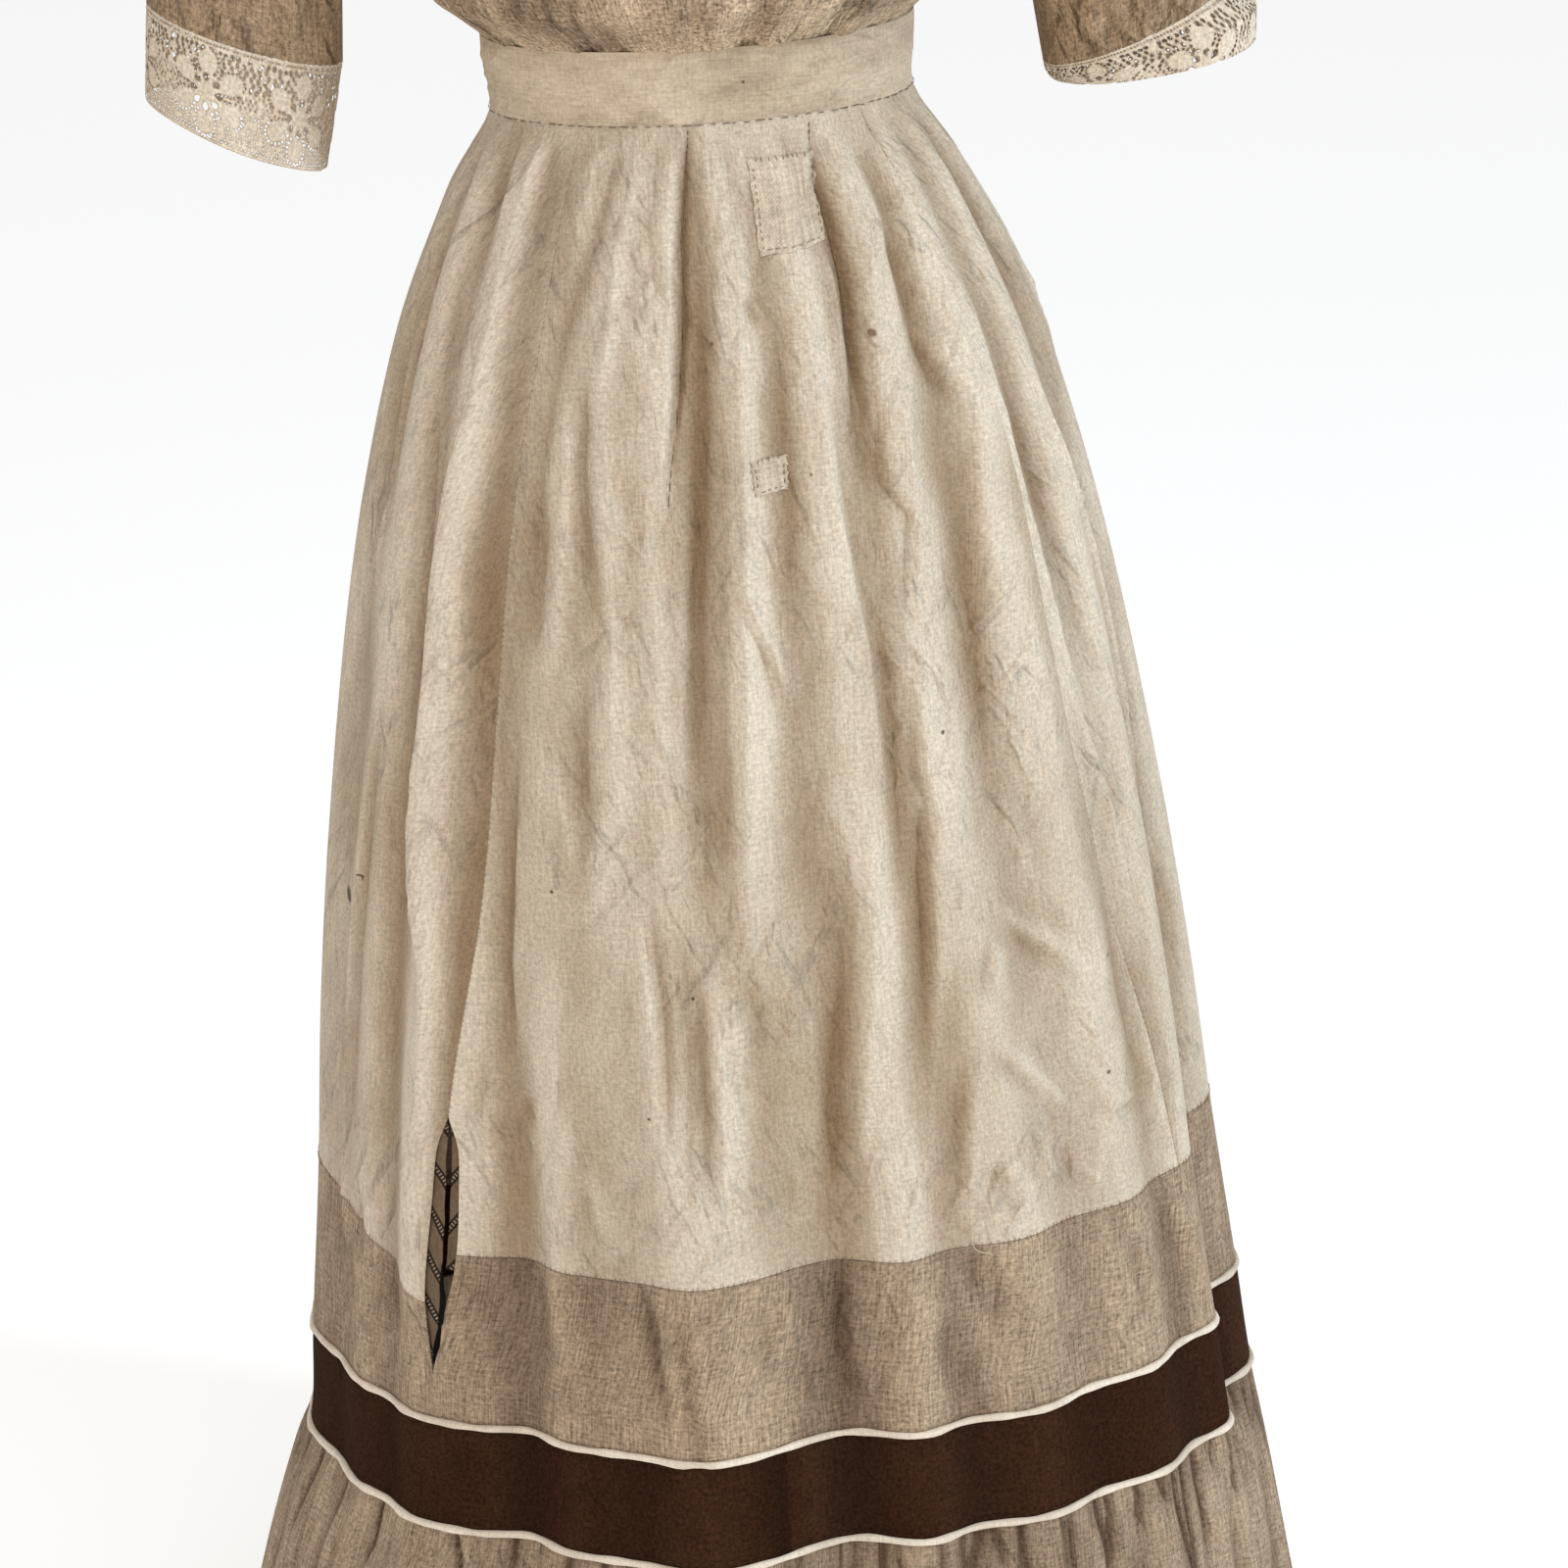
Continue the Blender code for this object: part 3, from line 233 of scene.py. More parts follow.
# creases laid over the folds: half width and height in mm, below zero for a trough, the side that is steep
# (-1 left, 1 right, 0 neither), then the points it runs through, as angle in degrees and drop in mm
skirtCreases = inMetres((
    (9, -4.5, 0, -78.6, 30, -75.2, 77, -70.2, 124, -69.7, 189, -69.3, 259),
    (7, 3.5, -1, -81.2, 40, -78.0, 63, -73.3, 111, -71.5, 165, -70.3, 212, -70.6, 274, -70.6, 319),
    (6, -3.5, 0, -66.9, 37, -61.8, 72, -58.6, 113, -57.1, 160, -55.2, 207, -54.6, 262, -53.6, 317),
    (7, 2.5, -1, -63.0, 41, -62.1, 64, -62.8, 88, -59.8, 119, -55.0, 186, -52.7, 272),
    (5, -2.5, 0, -59.2, 276, -61.6, 323, -63.4, 378, -64.5, 429, -65.8, 478, -66.5, 526, -68.4, 602),
    (8, 3.0, 1, -62.4, 278, -64.3, 336, -66.4, 402, -68.7, 463, -70.3, 531, -72.9, 608),
    (6, -2.5, 0, -50.6, 337, -54.6, 396, -56.3, 455, -56.6, 514, -57.9, 575, -58.8, 625),
    (13, 9.0, -1, -47.3, 20, -47.1, 55, -46.0, 98, -46.1, 138, -47.7, 183, -48.2, 242, -48.3, 291,
     -48.8, 332, -50.1, 376, -48.5, 417, -46.2, 459, -46.6, 504, -47.0, 549, -47.8, 600, -49.3, 643),
    (5, -3.5, 0, -48.6, 60, -47.3, 103, -48.1, 139, -49.8, 184, -50.4, 246, -50.2, 303, -50.9, 359),
    (4, 2.2, 0, -73.1, 5, -70.0, 25, -63.5, 49),
    (4, -2.0, 0, -63.0, 4, -60.8, 25, -55.7, 55),
    (4, 2.0, 0, -56.0, 4, -52.9, 28, -49.8, 58),
    (4, 2.4, 0, -47.1, 3, -46.9, 20, -44.8, 47),
    (4, -2.2, 0, -42.0, 3, -42.8, 17, -41.5, 36),
    (5, 2.0, 0, -28.9, 2, -28.5, 23, -27.6, 50),
    (5, -2.6, 0, -23.8, 6, -23.7, 25, -24.4, 42, -25.0, 65),
    (5, 2.2, 0, -18.8, 3, -18.2, 25, -18.4, 55),
    (4, -1.8, 0, -13.5, 3, -12.9, 25, -12.8, 50),
    (5, 2.0, 0, -9.3, 3, -9.1, 31, -9.9, 60),
    (4, 1.8, 0, -1.1, 2, -0.4, 27, 0.0, 56),
    (4, -2.0, 0, 3.8, 2, 4.3, 25, 4.3, 52),
    (5, 1.8, 0, 8.2, 2, 7.9, 23, 7.6, 45),
    (4, -1.6, 0, 20.9, 3, 19.5, 15, 19.3, 21),
    (5, 2.2, 0, 25.9, 3, 24.9, 17, 22.5, 41),
    (9, -5.0, 0, -23.3, 15, -23.8, 40, -25.4, 66, -27.8, 85, -29.2, 105, -30.4, 131, -31.4, 162, -31.9, 198,
     -32.4, 241, -33.2, 284),
    (8, 4.0, 0, -19.2, 35, -19.5, 66, -19.3, 95, -20.7, 130, -22.8, 156),
    (5, 2.4, 1, -20.4, 73, -17.7, 81, -15.2, 87, -12.1, 93),
    (4, -2.2, 0, -19.3, 80, -16.3, 88, -12.8, 96),
    (6, 2.4, 0, -17.3, 95, -14.8, 110, -12.5, 127, -11.2, 145),
    (5, -2.4, 0, -15.7, 35, -13.2, 55, -12.2, 75, -10.5, 95),
    (9, 4.0, 0, -26.4, 146, -26.8, 187, -26.9, 229, -27.9, 272, -29.2, 304),
    (8, -3.5, 0, -30.3, 177, -30.4, 219, -30.9, 262, -31.5, 294),
    (6, -6.0, 0, -23.6, 105, -24.1, 117, -24.2, 137, -24.0, 171, -23.3, 197, -22.3, 218, -21.2, 239,
     -20.4, 257),
    (6, -4.0, 0, -22.1, 266, -22.5, 287, -22.8, 314, -22.8, 341, -22.3, 368, -22.1, 390),
    (16, 4.5, -1, -21.9, 145, -21.1, 181, -19.5, 217, -18.3, 260, -18.4, 313, -18.0, 356, -17.1, 389),
    (7, 2.6, 0, -14.1, 176, -12.7, 217, -12.1, 260, -11.6, 308, -10.8, 345),
    (5, -2.0, 0, -26.2, 299, -24.3, 318, -23.4, 346, -23.7, 379),
    (6, 2.6, -1, -31.8, 308, -32.9, 334, -33.6, 366, -34.0, 419, -34.5, 452, -33.8, 494, -33.8, 527),
    (6, -3.6, 0, -32.9, 316, -33.9, 344, -34.8, 383, -35.3, 419, -35.9, 452, -35.3, 495, -35.2, 524),
    (4, 1.8, 0, -28.5, 326, -26.7, 347, -25.2, 374, -24.6, 401),
    (5, -1.6, 0, -22.6, 362, -23.2, 390, -24.9, 418),
    (9, 5.5, 1, -7.3, 0, -8.2, 29, -9.0, 61, -8.7, 99, -9.5, 137, -10.7, 176, -11.4, 207),
    (2.0, -5.5, 0, -4.6, -30, -4.7, 0, -5.9, 29, -6.8, 61, -6.8, 99, -7.8, 137, -9.3, 176, -9.9, 207),
    (12, -4.0, 0, -2.6, 21, -3.3, 61, -3.7, 106, -4.7, 151, -5.9, 197, -6.7, 244, -7.5, 292, -8.4, 345,
     -8.6, 400),
    (4, -2.6, 0, -2.3, 61, -2.7, 101, -3.3, 146, -4.6, 197, -5.9, 250, -6.4, 313, -7.9, 378),
    (6, 2.2, 0, -6.6, 146, -7.4, 197, -8.2, 249, -9.1, 313, -10.0, 378),
    (6, -3.6, 0, 1.7, 67, 1.0, 106, -0.1, 147, -0.8, 198, -2.1, 250, -2.7, 303, -3.3, 357, -3.7, 400,
     -4.5, 442),
    (13, 6.0, -1, 4.9, 57, 4.0, 102, 2.3, 147, 1.8, 199, 1.0, 251, 0.1, 304, -0.8, 357, -1.1, 401,
     -1.8, 451),
    (5, 2.6, 0, 5.5, 45, 5.5, 62, 5.3, 85, 5.7, 96),
    (3, -2.4, 0, 4.7, 88, 5.7, 96, 6.4, 105),
    (5, 2.4, 0, 5.7, 96, 5.7, 112, 6.5, 130, 6.1, 143),
    (3.2, -3.6, 0, -1.0, 219, -0.8, 231, -0.0, 244, 1.4, 260, 2.9, 274, 3.6, 289, 4.3, 302, 5.0, 313),
    (6, 3.4, -1, 0.3, 224, 1.4, 244, 3.1, 262, 4.8, 278, 5.8, 295, 6.5, 314),
    (7, -2.6, 0, 11.5, 79, 10.2, 109, 9.6, 139, 9.3, 165, 9.1, 201, 8.5, 243, 8.0, 285),
    (10, 3.0, 0, 18.7, 45, 18.2, 76, 16.4, 110, 15.7, 141, 15.4, 177, 15.5, 214),
    (6, 3.0, 1, 14.5, 123, 16.6, 143, 16.7, 193, 17.2, 244, 18.4, 279, 18.5, 323, 18.4, 366, 18.8, 411),
    (5, -2.6, 0, 16.1, 121, 18.0, 152, 18.3, 199, 19.0, 247, 19.9, 280),
    (2.3, -5.5, 0, 29.6, -20, 28.9, 4, 27.3, 18, 25.9, 37, 26.2, 59, 25.7, 86, 24.3, 113, 24.1, 139,
     23.9, 167, 23.1, 186),
    (8, 4.5, 1, 19.7, 41, 22.5, 62, 23.0, 87, 22.3, 113, 21.6, 143, 21.0, 174),
    (7, 3.6, -1, 30.2, 18, 30.8, 39, 30.9, 65, 29.4, 95, 27.8, 125, 26.4, 156),
    (5, -3.0, 0, 29.9, 10, 31.1, 23, 33.0, 32),
    (12, -4.5, 0, 40.0, 58, 38.4, 78, 38.5, 99, 39.4, 115, 38.6, 129),
    (6, 3.0, 0, 35.7, 15, 36.4, 36, 36.2, 61, 35.2, 87, 34.3, 113, 33.9, 133),
    (8, 4.5, 1, 31.3, 137, 30.0, 163, 29.5, 189, 28.4, 214),
    (4, -4.4, 0, 28.0, 146, 26.2, 161, 24.9, 179, 24.7, 193, 26.2, 203, 28.0, 212, 27.0, 229, 25.5, 251,
     24.3, 272),
    (4, 3.2, 0, 26.5, 198, 27.8, 205, 29.3, 210, 28.3, 223),
    (9, 4.6, -1, 28.6, 231, 26.3, 262, 24.9, 294, 24.6, 326, 24.4, 352, 25.3, 378, 24.0, 409, 23.5, 455,
     21.8, 503, 20.8, 548, 20.7, 583, 21.2, 606),
    (4, -3.4, 0, 24.9, 272, 24.4, 295, 23.7, 326, 23.5, 351, 24.3, 367, 23.5, 386, 22.6, 408, 22.3, 447,
     20.7, 496, 20.0, 541),
    (4, 2.2, 0, 23.2, 362, 24.1, 369, 25.0, 379, 25.6, 388),
    (6, -3.0, 0, 23.8, 229, 21.2, 270, 20.9, 313, 20.7, 357, 19.9, 400, 18.5, 444),
    (7, -3.2, 0, 24.7, 103, 23.1, 144, 22.7, 180, 22.3, 206),
    (4, -4.0, 0, 36.8, 109, 37.5, 126, 39.2, 141, 41.3, 155, 42.4, 171),
    (9, 5.0, -1, 39.9, 100, 39.9, 121, 41.9, 137, 44.2, 150, 44.1, 172, 42.6, 198, 41.2, 229, 41.7, 263,
     42.5, 297),
    (7, -3.2, 0, 41.4, 175, 39.6, 206, 38.1, 238, 37.5, 270, 36.8, 314, 36.1, 352, 33.3, 383),
    (9, 5.0, 1, 57.5, 77, 53.2, 107, 51.4, 149, 51.1, 182, 51.5, 226, 52.5, 266, 54.0, 310, 57.2, 357,
     59.0, 394),
    (10, -5.5, 0, 58.8, 110, 57.3, 148, 57.3, 181, 57.9, 221, 59.6, 262, 60.7, 303, 63.5, 341, 64.3, 388),
    (6, 4.5, -1, 62.2, 115, 62.8, 149, 65.4, 190, 69.9, 242, 71.2, 288, 71.4, 326, 71.5, 367, 71.3, 409,
     71.0, 457),
    (5, -2.6, 0, 67.2, 138, 69.3, 173, 71.0, 215, 72.3, 257),
    (5, 2.4, 0, 92.6, 31, 91.4, 66, 91.4, 108, 87.5, 146, 89.7, 189),
    (5, -2.4, 0, 75.7, 24, 73.6, 57, 71.8, 97, 70.4, 129),
    (5, -2.6, 0, 81.6, 278, 77.4, 321, 77.4, 369, 74.4, 413, 72.0, 458, 70.5, 505),
    (5, 2.4, 1, 48.7, 280, 53.7, 332, 57.3, 380, 58.5, 422, 58.8, 470, 58.7, 518),
    (6, -2.4, 0, 53.0, 411, 53.7, 457, 53.7, 505, 54.9, 554, 56.6, 599),
    (3.6, -3.2, 0, 31.2, 450, 30.2, 462, 29.4, 477, 29.5, 488),
    (5, 3.4, 0, 32.0, 453, 31.2, 472, 30.5, 485),
    (4, 3.4, 0, 29.4, 508, 31.8, 519, 35.2, 533, 38.3, 549, 40.9, 565, 44.6, 574),
    (5, -2.6, 0, 28.2, 512, 30.8, 525, 34.3, 542, 37.0, 559),
    (4, -2.6, 0, 38.7, 457, 39.9, 468, 41.7, 477, 43.8, 481),
    (4, 2.6, 0, 39.5, 452, 41.5, 467, 43.7, 476),
    (3, 2.0, 0, 42.2, 505, 45.8, 506, 50.6, 506),
    (3, 2.2, 0, 44.8, 568, 49.1, 570, 54.5, 572),
    (3, -2.0, 0, 44.6, 572, 48.1, 574, 54.7, 577),
    (4, 1.8, 0, 44.8, 493, 45.6, 517, 45.8, 541),
    (5, -3.6, 0, 25.8, 515, 24.9, 540, 24.1, 563, 23.6, 588, 23.7, 609),
    (6, 2.8, 0, 27.1, 519, 26.2, 553, 25.2, 587, 25.8, 611, 26.9, 625),
    (4, 2.0, 0, 29.5, 574, 31.1, 593, 32.3, 615, 33.5, 626),
    (4, -2.0, 0, 28.0, 578, 29.2, 600, 30.7, 619),
    (4, 2.0, 0, 35.9, 564, 37.1, 589, 37.7, 613),
    (3, 1.6, 0, 41.3, 583, 42.5, 602, 45.6, 617),
    (4, -1.8, 0, 39.4, 580, 40.4, 602, 42.3, 620),
    (6, 2.2, 0, 37.4, 370, 38.5, 405, 40.0, 441, 40.0, 458),
    (3, -3.0, 0, -14.4, 395, -13.8, 416, -13.2, 441, -12.6, 467, -12.3, 488, -12.3, 509, -12.4, 539,
     -12.5, 568),
    (6, 3.0, 1, -15.8, 400, -15.2, 433, -14.4, 460, -14.1, 488, -14.1, 522, -14.2, 557),
    (3.5, -4.0, 0, -8.5, 442, -8.0, 466, -8.0, 488, -7.8, 511, -7.6, 539, -7.8, 568, -7.7, 597),
    (9, 5.0, -1, -6.8, 447, -6.3, 472, -6.2, 500, -5.8, 534, -6.0, 568, -6.1, 597),
    (5, -2.8, 0, -4.0, 442, -3.1, 456, -1.8, 465, -0.8, 479, -0.9, 495, -1.9, 512),
    (5, 2.6, 0, -6.0, 461, -4.2, 478, -3.1, 492, -1.8, 505),
    (8, -4.2, 0, -9.9, 400, -9.7, 433, -9.8, 466, -9.6, 500, -9.8, 539, -10.0, 580, -9.8, 608),
    (7, 2.2, 0, -26.2, 480, -27.7, 514, -27.3, 549, -26.2, 577),
    (5, -2.2, 0, -26.8, 480, -26.9, 514, -27.6, 543, -28.8, 561),
    (5, -2.6, 0, -33.8, 529, -32.7, 540, -30.7, 546),
    (4, -2.2, 0, -46.6, 550, -47.4, 563, -48.1, 582),
    (4, 2.4, 0, -48.4, 541, -47.3, 558, -45.9, 569),
    (4, -2.4, 0, -38.7, 512, -40.0, 533, -40.4, 551),
    (4, 2.0, 0, -37.4, 520, -38.8, 544, -39.5, 568, -39.3, 591),
    (4, 2.0, 0, -23.1, 559, -22.0, 587, -21.4, 610),
    (9, -4.5, 0, 12.8, 352, 12.5, 389, 11.6, 428, 10.6, 473, 8.9, 516, 7.9, 550, 7.6, 585, 8.0, 620),
    (9, 3.6, -1, 16.2, 354, 15.3, 397, 14.5, 441, 13.3, 485, 11.9, 530, 11.6, 575, 12.3, 612),
    (6, 2.6, 0, 6.3, 448, 6.1, 492, 6.1, 538, 5.6, 584),
    (3, 1.6, 0, 0.4, 594, 2.3, 601, 5.2, 601),
    (4, 3.0, 0, 31.6, 428, 35.5, 445, 39.0, 460, 43.0, 483),
    (5, -2.4, 0, 33.4, 446, 35.6, 454, 38.5, 468, 41.8, 487),
))
bandCreases = inMetres((
    (5, -5.0, 0, -16.1, 624, -16.0, 637, -15.6, 652, -15.2, 673, -14.4, 703, -13.9, 725),
    (6, 4.0, -1, -14.3, 626, -14.0, 649, -13.5, 673, -12.8, 702),
    (4, -4.5, 0, -12.1, 626, -11.8, 655, -11.4, 681, -11.0, 703, -10.5, 734, -10.2, 761),
    (9, 4.5, -1, -10.7, 626, -10.2, 655, -10.0, 681, -9.5, 703, -8.9, 737),
    (6, -3.0, 0, -24.9, 623, -24.2, 643, -23.4, 659, -23.1, 675),
    (6, 2.5, 0, -29.2, 627, -28.5, 654, -27.8, 689),
    (6, -2.5, 0, -32.0, 631, -31.2, 662, -30.0, 703),
    (5, -4.0, 0, 7.8, 624, 7.9, 649, 7.1, 679, 6.4, 703),
    (7, 3.5, -1, 9.1, 626, 9.3, 655, 9.1, 682, 10.0, 708, 10.5, 721),
    (6, -2.6, 0, 15.0, 630, 13.9, 659, 12.8, 693),
    (5, -4.0, 0, 24.9, 627, 25.0, 645, 24.9, 663),
    (6, -4.0, 0, 27.3, 630, 27.6, 660, 26.9, 677, 25.8, 691),
    (5, 2.6, 0, 30.1, 631, 31.1, 659, 31.3, 683, 30.4, 705),
    (5, -2.5, 0, 21.2, 665, 20.1, 688, 19.2, 707),
    (4, 2.2, 0, 44.0, 632, 44.7, 660, 45.3, 691, 45.4, 715),
    (4, 2.6, 0, 49.8, 634, 50.6, 663, 51.2, 694, 51.8, 726),
    (4, -2.6, 0, 47.9, 634, 48.3, 665, 49.0, 697, 49.3, 725),
    (4, 2.6, 0, 58.7, 639, 60.9, 668, 61.6, 700, 61.0, 724),
    (4, -2.4, 0, 56.2, 635, 57.8, 663, 58.9, 696),
    (6, -3.0, 0, -66.9, 606, -65.5, 628, -62.8, 655),
    (6, 3.0, 0, -72.4, 608, -70.8, 636, -67.6, 668),
    (5, -2.2, 0, -55.9, 639, -54.8, 668, -53.4, 697),
    (5, -2.4, 0, -48.5, 654, -49.2, 685, -49.8, 710),
    (5, 2.4, 0, -42.6, 642, -43.9, 673, -45.5, 705),
    (5, -2.0, 0, -41.0, 640, -41.9, 665, -43.2, 696),
    (6, -2.4, 0, -3.1, 633, -2.8, 662, -2.2, 691),
    (7, 2.4, 0, 0.4, 631, 0.7, 663, 1.3, 692),
))

# the section of a crease and how it ends; the last two are for creases strewn loosely
creaseForm = {
    "samples": 200,
    "endShare": 0.36,
    "steep": 2.6,
    "gentle": 0.9,
    "power": 1.1,
    "crisp": (0.35, 5.0),
    "bend": 0.25,
    "looseRadius": 0.17,
}


def creaseHeight(creases, angle, drop, radius, endShare=creaseForm["endShare"]):
    angle, drop, radius = np.broadcast_arrays(angle, drop, radius)
    height = np.zeros(angle.shape)
    order = np.argsort(drop, axis=None)[:: max(1, drop.size // creaseForm["samples"])]
    spans, radii = drop.reshape(-1)[order], radius.reshape(-1)[order]
    for halfWidth, size, steep, *line in creases:
        line = np.array(line)
        width = halfWidth * 0.001
        middle = float(np.interp(line[:, 1].mean(), spans, radii))
        reach = math.degrees(4 * width / middle)
        near = (angle > line[:, 0].min() - reach) & (angle < line[:, 0].max() + reach)
        near &= (drop > line[:, 1].min() - 3 * width) & (drop < line[:, 1].max() + 3 * width)
        if not near.any():
            continue
        x = np.radians(angle[near] - line[0, 0]) * radius[near]
        y = drop[near]
        scale = np.radians(1.0) * radius[near]
        best = np.full(x.shape, 1e9)
        signed = np.zeros(x.shape)
        along = np.zeros(x.shape)
        steps = np.hypot(np.radians(np.diff(line[:, 0])) * middle, np.diff(line[:, 1]))
        whole = steps.sum()
        before = 0.0
        for (angle0, drop0), (angle1, drop1), step in zip(line[:-1], line[1:], steps):
            x0 = (angle0 - line[0, 0]) * scale
            dx, dy = (angle1 - angle0) * scale, drop1 - drop0
            length = dx * dx + dy * dy
            share = np.clip(((x - x0) * dx + (y - drop0) * dy) / length, 0, 1)
            awayX, awayY = x - x0 - share * dx, y - drop0 - share * dy
            away = np.hypot(awayX, awayY)
            closer = away < best
            best = np.where(closer, away, best)
            signed = np.where(closer, np.copysign(away, awayX * dy - awayY * dx), signed)
            along = np.where(closer, (before + share * step) / whole, along)
            before += step
        aside = signed / width
        if steep:
            aside = np.where(aside * steep > 0, aside * creaseForm["steep"], aside * creaseForm["gentle"])
        fade = ease(along / endShare) * ease((1 - along) / endShare)
        crisp = 1 + creaseForm["crisp"][0] * math.exp(-((halfWidth / creaseForm["crisp"][1]) ** 2))
        height[near] += size * 0.001 * crisp * np.exp(-(np.abs(aside) ** creaseForm["power"])) * fade
    return height


# short creases strewn over a stretch, each slightly bent
def looseCreases(seed, count, angles, drops, slant, length, halfWidths, heights):
    dice = random.Random(seed)
    rows = []
    for _ in range(count):
        angle, drop = dice.uniform(*angles), dice.uniform(*drops)
        lean = dice.uniform(*slant)
        reach = dice.uniform(*length)
        bend = dice.uniform(-creaseForm["bend"], creaseForm["bend"])
        size = dice.uniform(*heights) * dice.choice((-1, 1, 1))
        points = []
        for share in (-0.5, -0.17, 0.17, 0.5):
            aside = reach * (share * math.sin(lean) + bend * (0.25 - share * share) * math.cos(lean))
            down = reach * (share * math.cos(lean) - bend * (0.25 - share * share) * math.sin(lean))
            points.append((angle + math.degrees(aside / creaseForm["looseRadius"]), drop + down))
        rows.append((dice.uniform(*halfWidths), size, dice.choice((-1, 0, 0, 1)), *points))
    return rows


def skirtCurve(column, drop):
    return readCurve(skirtColumns["drop"], skirtColumns[column], drop)


def skirtRadius(drop):
    return skirtCurve("side", drop)


# all small relief of the skirt; the back has the front's creases turned round, a little softer
def skirtCreased(angle, drop):
    signed = turnedBetween(angle)
    behind = turnedBetween(180.0 - angle)
    radius = skirtRadius(drop)
    atBack = skirt["backSize"] * (np.abs(signed) > skirt["backFrom"])
    height = creaseHeight(skirtCreases, signed, drop, radius)
    height = height + creaseHeight(skirtCreases, behind, drop, radius) * atBack
    height = height + creaseHeight(bandCreases, behind, drop, radius) * atBack
    height = height + creaseHeight(bandCreases, signed, drop, radius)
    return skirt["creaseSize"] * height * ease((drop + 0.002) / skirt["creaseStart"])


def skirtSurface(angle, drop, out=0.0):
    turn = np.radians(angle)
    proud = foldHeight(angle, drop) + out
    depth = np.where(np.cos(turn) > 0, skirtCurve("front", drop), skirtCurve("back", drop))
    x = skirtCurve("middle", drop) + (skirtRadius(drop) + proud) * np.sin(turn)
    return np.stack(np.broadcast_arrays(x, -(depth + proud) * np.cos(turn), skirt["waistZ"] - drop), axis=-1)


# how deep each point lies below the cloth beside it, from -1 on a ridge to 1 in a trough; the materials use
# it to paint shade in the troughs and a highlight on the ridges
def hollows(angle, drop, out):
    height = foldHeight(angle, drop) + out
    reach = np.radians(angle) * skirtRadius(drop)
    around = np.zeros(height.shape)
    for row in range(height.shape[0]):
        across = reach[row]
        total = np.concatenate([[0.0], np.cumsum((height[row][1:] + height[row][:-1]) / 2 * np.diff(across))])
        left = np.clip(across - skirt["hollowReach"], across[0], across[-1])
        right = np.clip(across + skirt["hollowReach"], across[0], across[-1])
        around[row] = (np.interp(right, across, total) - np.interp(left, across, total)) / (right - left)
    return np.clip((around - height) / skirt["hollowDepth"], -1, 1)


# cloth pieces
wallThickness = 0.0008
thinWall = 0.0005
wideFrom = 0.6  # wider pieces keep one width in their own measures


# the four corners of each cell of a grid, round it
def cellCorners(grid):
    return np.stack([grid[:-1, :-1], grid[1:, :-1], grid[1:, 1:], grid[:-1, 1:]], axis=2)


def addLayer(mesh, name, kind, domain, values):
    layer = mesh.attributes.new(name=name, type=kind, domain=domain)
    layer.data.foreach_set("value", values)


def addMeasures(mesh, flat):
    layer = mesh.uv_layers.new(name="cloth")
    layer.data.foreach_set("uv", flat.reshape(-1).astype(np.float32))


# points: rows down, columns from left to right seen from outside
def sheetMesh(name, points, material, ring=False, wall=wallThickness, paintedShading=None, tube=False):
    rows, columns = points.shape[0] - 1, points.shape[1] - 1
    kept = columns if ring else columns + 1
    down = rows if tube else rows + 1
    index = np.arange(down * kept).reshape(down, kept)
    if ring:
        index = np.concatenate([index, index[:, :1]], axis=1)
    if tube:
        index = np.concatenate([index, index[:1]], axis=0)
    corners = cellCorners(index).reshape(-1, 4)
    mesh = bpy.data.meshes.new(name)
    mesh.from_pydata(points[:down, :kept].reshape(-1, 3).tolist(), [], corners.tolist())
    # the cloth's own measures, so that its threads follow it
    stepAcross = np.linalg.norm(np.diff(points, axis=1), axis=2)
    width = stepAcross.sum(axis=1)
    share = np.cumsum(stepAcross / width[:, None], axis=1).mean(axis=0)
    even = np.polyval(np.polyfit(np.arange(rows + 1), width, 2), np.arange(rows + 1))
    if width.mean() > wideFrom:
        even = width.mean() + 0 * even
    u = (np.concatenate([[0.0], share]) - 0.5)[None, :] * even[:, None]
    stepDown = np.linalg.norm(np.diff(points, axis=0), axis=2).mean(axis=1)
    v = np.concatenate([[0.0], -np.cumsum(stepDown)])
    v = np.repeat(v[:, None], columns + 1, axis=1)
    addMeasures(mesh, cellCorners(np.stack([u, v], axis=-1)))
    # a mask for painted shade and painted highlight, kept as an attribute for the material
    if paintedShading is not None:
        addLayer(mesh, "paintedShading", "FLOAT", "POINT", paintedShading[:, :kept].reshape(-1).astype(np.float32))
    mesh.materials.append(material)
    mesh.shade_smooth()
    # the border stays a crisp edge once the sheet has a wall
    edgeOf = np.empty(len(mesh.loops), int)
    mesh.loops.foreach_get("edge_index", edgeOf)
    border = np.bincount(edgeOf, minlength=len(mesh.edges)) == 1
    addLayer(mesh, "sharp_edge", "BOOLEAN", "EDGE", border)
    piece = placed(name, mesh)
    if wall:
        shell = piece.modifiers.new("wall", "SOLIDIFY")
        shell.thickness = wall
        shell.offset = -1
    return piece


def unit(rows):
    return rows / np.linalg.norm(rows, axis=1)[:, None]


def settle(piece, nodes):
    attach(piece, "root")
    if nodes:
        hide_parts(*nodes)
    measured = sum(face.area for face in piece.data.polygons)
    print(piece.name, "faces", len(piece.data.polygons), "area", round(measured, 4))


# materials


def newGroup(name, inputs, outputs):
    group = bpy.data.node_groups.new(name, "ShaderNodeTree")
    for label, kind, value in inputs:
        socket = group.interface.new_socket(label, in_out="INPUT", socket_type="NodeSocket" + kind)
        if value is not None:
            socket.default_value = value
    for label, kind in outputs:
        group.interface.new_socket(label, in_out="OUTPUT", socket_type="NodeSocket" + kind)
    start, end = group.nodes.new("NodeGroupInput"), group.nodes.new("NodeGroupOutput")
    return group, start, end


